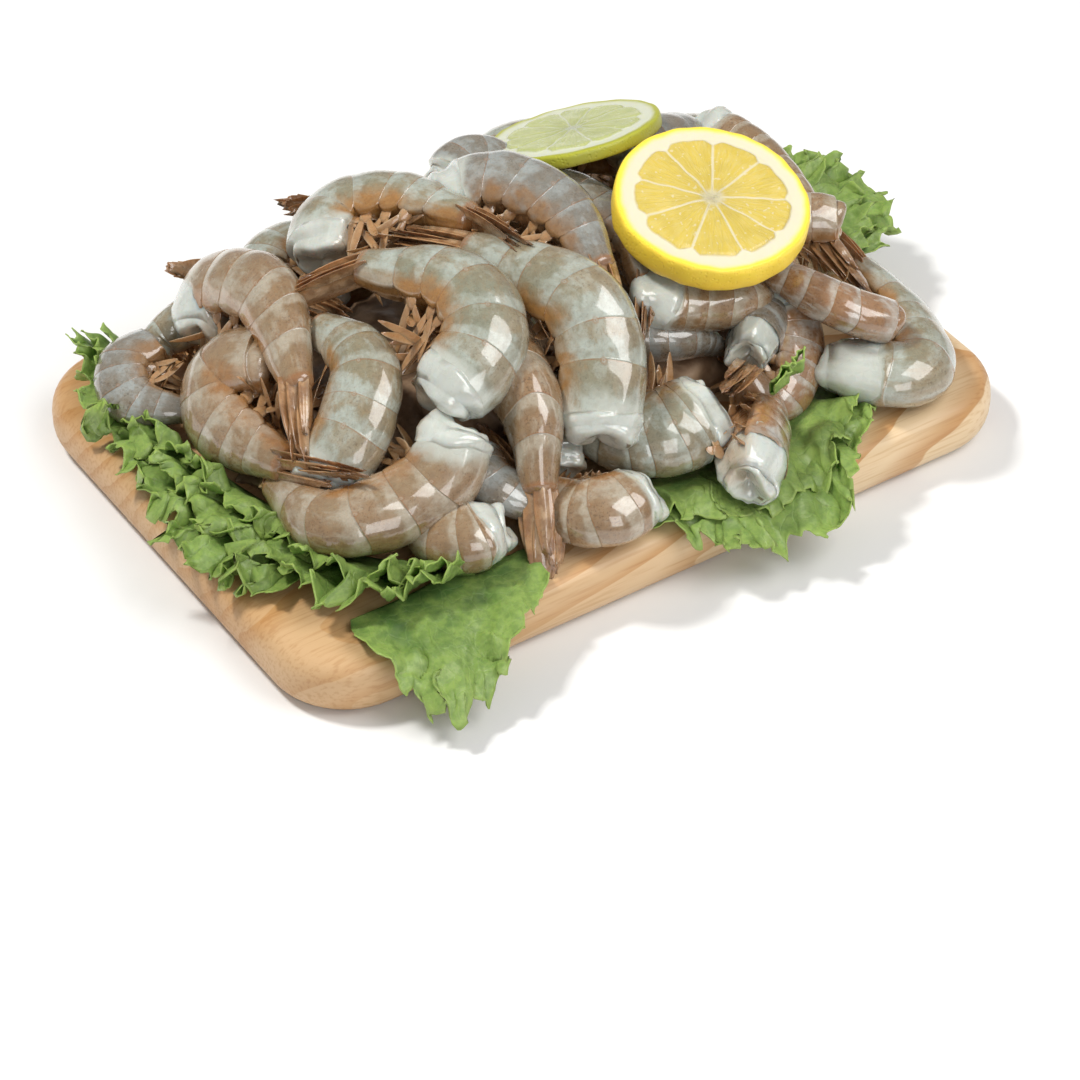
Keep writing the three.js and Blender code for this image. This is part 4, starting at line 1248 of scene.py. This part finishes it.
class SHRIMPBOARD_OT_heap_inside(bpy.types.Operator):
    """Makes the dark inside of the heap, painted shade that shows only through gaps"""

    bl_idname = "shrimpboard.heap_inside"
    bl_label = "Heap Inside"

    def execute(self, context):
        material, tree, look = new_material("heap_shadow")
        patch = noise(place_in_object(tree), 120.0, 4.0)
        # Painted shade: dark browns for the shade deep inside the heap.
        put(look, {"Base Color": painted((0.2, 0.12, 0.07), (between(patch, 0.35, 0.65), (0.4, 0.27, 0.17))),
                   "Roughness": between(patch, 0.4, 0.6, 0.3, 0.5),
                   "Normal": bump(patch, 1.0)})
        grid = mound_grid(MOUND)
        surface = Surface()
        surface.tube(grid, np.linspace(0, 1, len(grid)), np.linspace(0, 1, grid.shape[1] + 1))
        surface.piece("heap_shadow", (material,), "heap_inside", "heap_inside")
        return {"FINISHED"}


# Half the floor's side and the point that the lights are turned to, in metres.
FLOOR_HALF = 6.0
LIT_POINT = (0, 0, 0.03)
# Width of the camera's film, in millimetres.
FILM_WIDTH = 36.0


def area_light(name, power, size, place, colour):
    """A square area light at a place in metres, turned to the heap."""
    light = bpy.data.lights.new(name, "AREA")
    light.energy = power
    light.size = size
    light.color = colour
    lamp = bpy.data.objects.new(name, light)
    lamp.location = place
    lamp.rotation_euler = (Vector(LIT_POINT) - Vector(place)).to_track_quat("-Z", "Y").to_euler()
    bpy.context.scene.collection.objects.link(lamp)
    return lamp


class SHRIMPBOARD_OT_stage(bpy.types.Operator):
    """Makes the floor, the light and the camera"""

    bl_idname = "shrimpboard.stage"
    bl_label = "Stage"

    def execute(self, context):
        scene = context.scene
        settings = scene.stage_settings
        mesh = bpy.data.meshes.new("floor")
        corners = [(x * FLOOR_HALF, y * FLOOR_HALF, 0) for x, y in ((-1, -1), (1, -1), (1, 1), (-1, 1))]
        mesh.from_pydata(corners, [], [(0, 1, 2, 3)])
        floor = bpy.data.objects.new("floor", mesh)
        scene.collection.objects.link(floor)
        material, _, look = new_material("white_floor")
        put(look, {"Base Color": settings.floor, "Roughness": 0.9, "Specular IOR Level": 0.1})
        mesh.materials.append(material)

        world = scene.world or bpy.data.worlds.new("surroundings")
        scene.world = world
        world.use_nodes = True
        put(world.node_tree.nodes["Background"].inputs, {"Color": (1.0, 1.0, 1.0), "Strength": settings.sky})
        area_light("softbox", settings.softbox, 0.75, (0.38, -0.56, 0.92), (1.0, 0.99, 0.97))
        area_light("rear", settings.rear, 0.22, (-0.5, 0.6, 1.25), (1.0, 0.99, 0.96)).visible_glossy = False
        area_light("fill", settings.fill, 0.6, (-0.3, -1.1, 0.6), (1.0, 1.0, 1.0))
        scene.view_settings.view_transform = "Standard"

        turn = math.radians(VIEW["azimuth"])
        rise = math.radians(VIEW["elevation"])
        away = Vector((math.sin(turn) * math.cos(rise), -math.cos(turn) * math.cos(rise), math.sin(rise)))
        right = Vector((math.cos(turn), math.sin(turn), 0))
        place = (Vector(VIEW["aim"]) + away * VIEW["distance"]) * MM
        camera_data = bpy.data.cameras.new("camera")
        camera_data.lens = VIEW["lens"]
        camera_data.sensor_width = FILM_WIDTH
        camera = bpy.data.objects.new("camera", camera_data)
        facing = Matrix((right, away.cross(right), away)).transposed().to_4x4()
        camera.matrix_world = Matrix.Translation(place) @ facing
        scene.collection.objects.link(camera)
        scene.camera = camera
        return {"FINISHED"}


class SHRIMPBOARD_PT_sidebar(bpy.types.Panel):
    """Buttons for each step, in the 3D view's sidebar."""

    bl_idname = "SHRIMPBOARD_PT_sidebar"
    bl_label = "Shrimp Board"
    bl_space_type = "VIEW_3D"
    bl_region_type = "UI"
    bl_category = "Shrimp Board"

    def draw(self, context):
        for step in STEPS:
            self.layout.operator(step.bl_idname)


STEPS = (SHRIMPBOARD_OT_stage, SHRIMPBOARD_OT_board, SHRIMPBOARD_OT_heap_inside, SHRIMPBOARD_OT_lettuce,
         SHRIMPBOARD_OT_citrus, SHRIMPBOARD_OT_shrimps)
SETTINGS = {"shrimp_settings": ShrimpSettings, "leaf_settings": LeafSettings,
            "citrus_settings": CitrusSettings, "board_settings": BoardSettings,
            "stage_settings": StageSettings}


def register():
    for name, kind in SETTINGS.items():
        bpy.utils.register_class(kind)
        setattr(bpy.types.Scene, name, PointerProperty(type=kind))
    for kind in (*STEPS, SHRIMPBOARD_PT_sidebar):
        bpy.utils.register_class(kind)


def unregister():
    for kind in (SHRIMPBOARD_PT_sidebar, *reversed(STEPS)):
        bpy.utils.unregister_class(kind)
    for name, kind in reversed(SETTINGS.items()):
        delattr(bpy.types.Scene, name)
        bpy.utils.unregister_class(kind)


def main():
    """Registers the classes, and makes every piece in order."""
    register()
    for step in STEPS:
        package, name = step.bl_idname.split(".")
        getattr(getattr(bpy.ops, package), name)()
    bpy.context.view_layer.update()


if __name__ == "__main__":
    main()
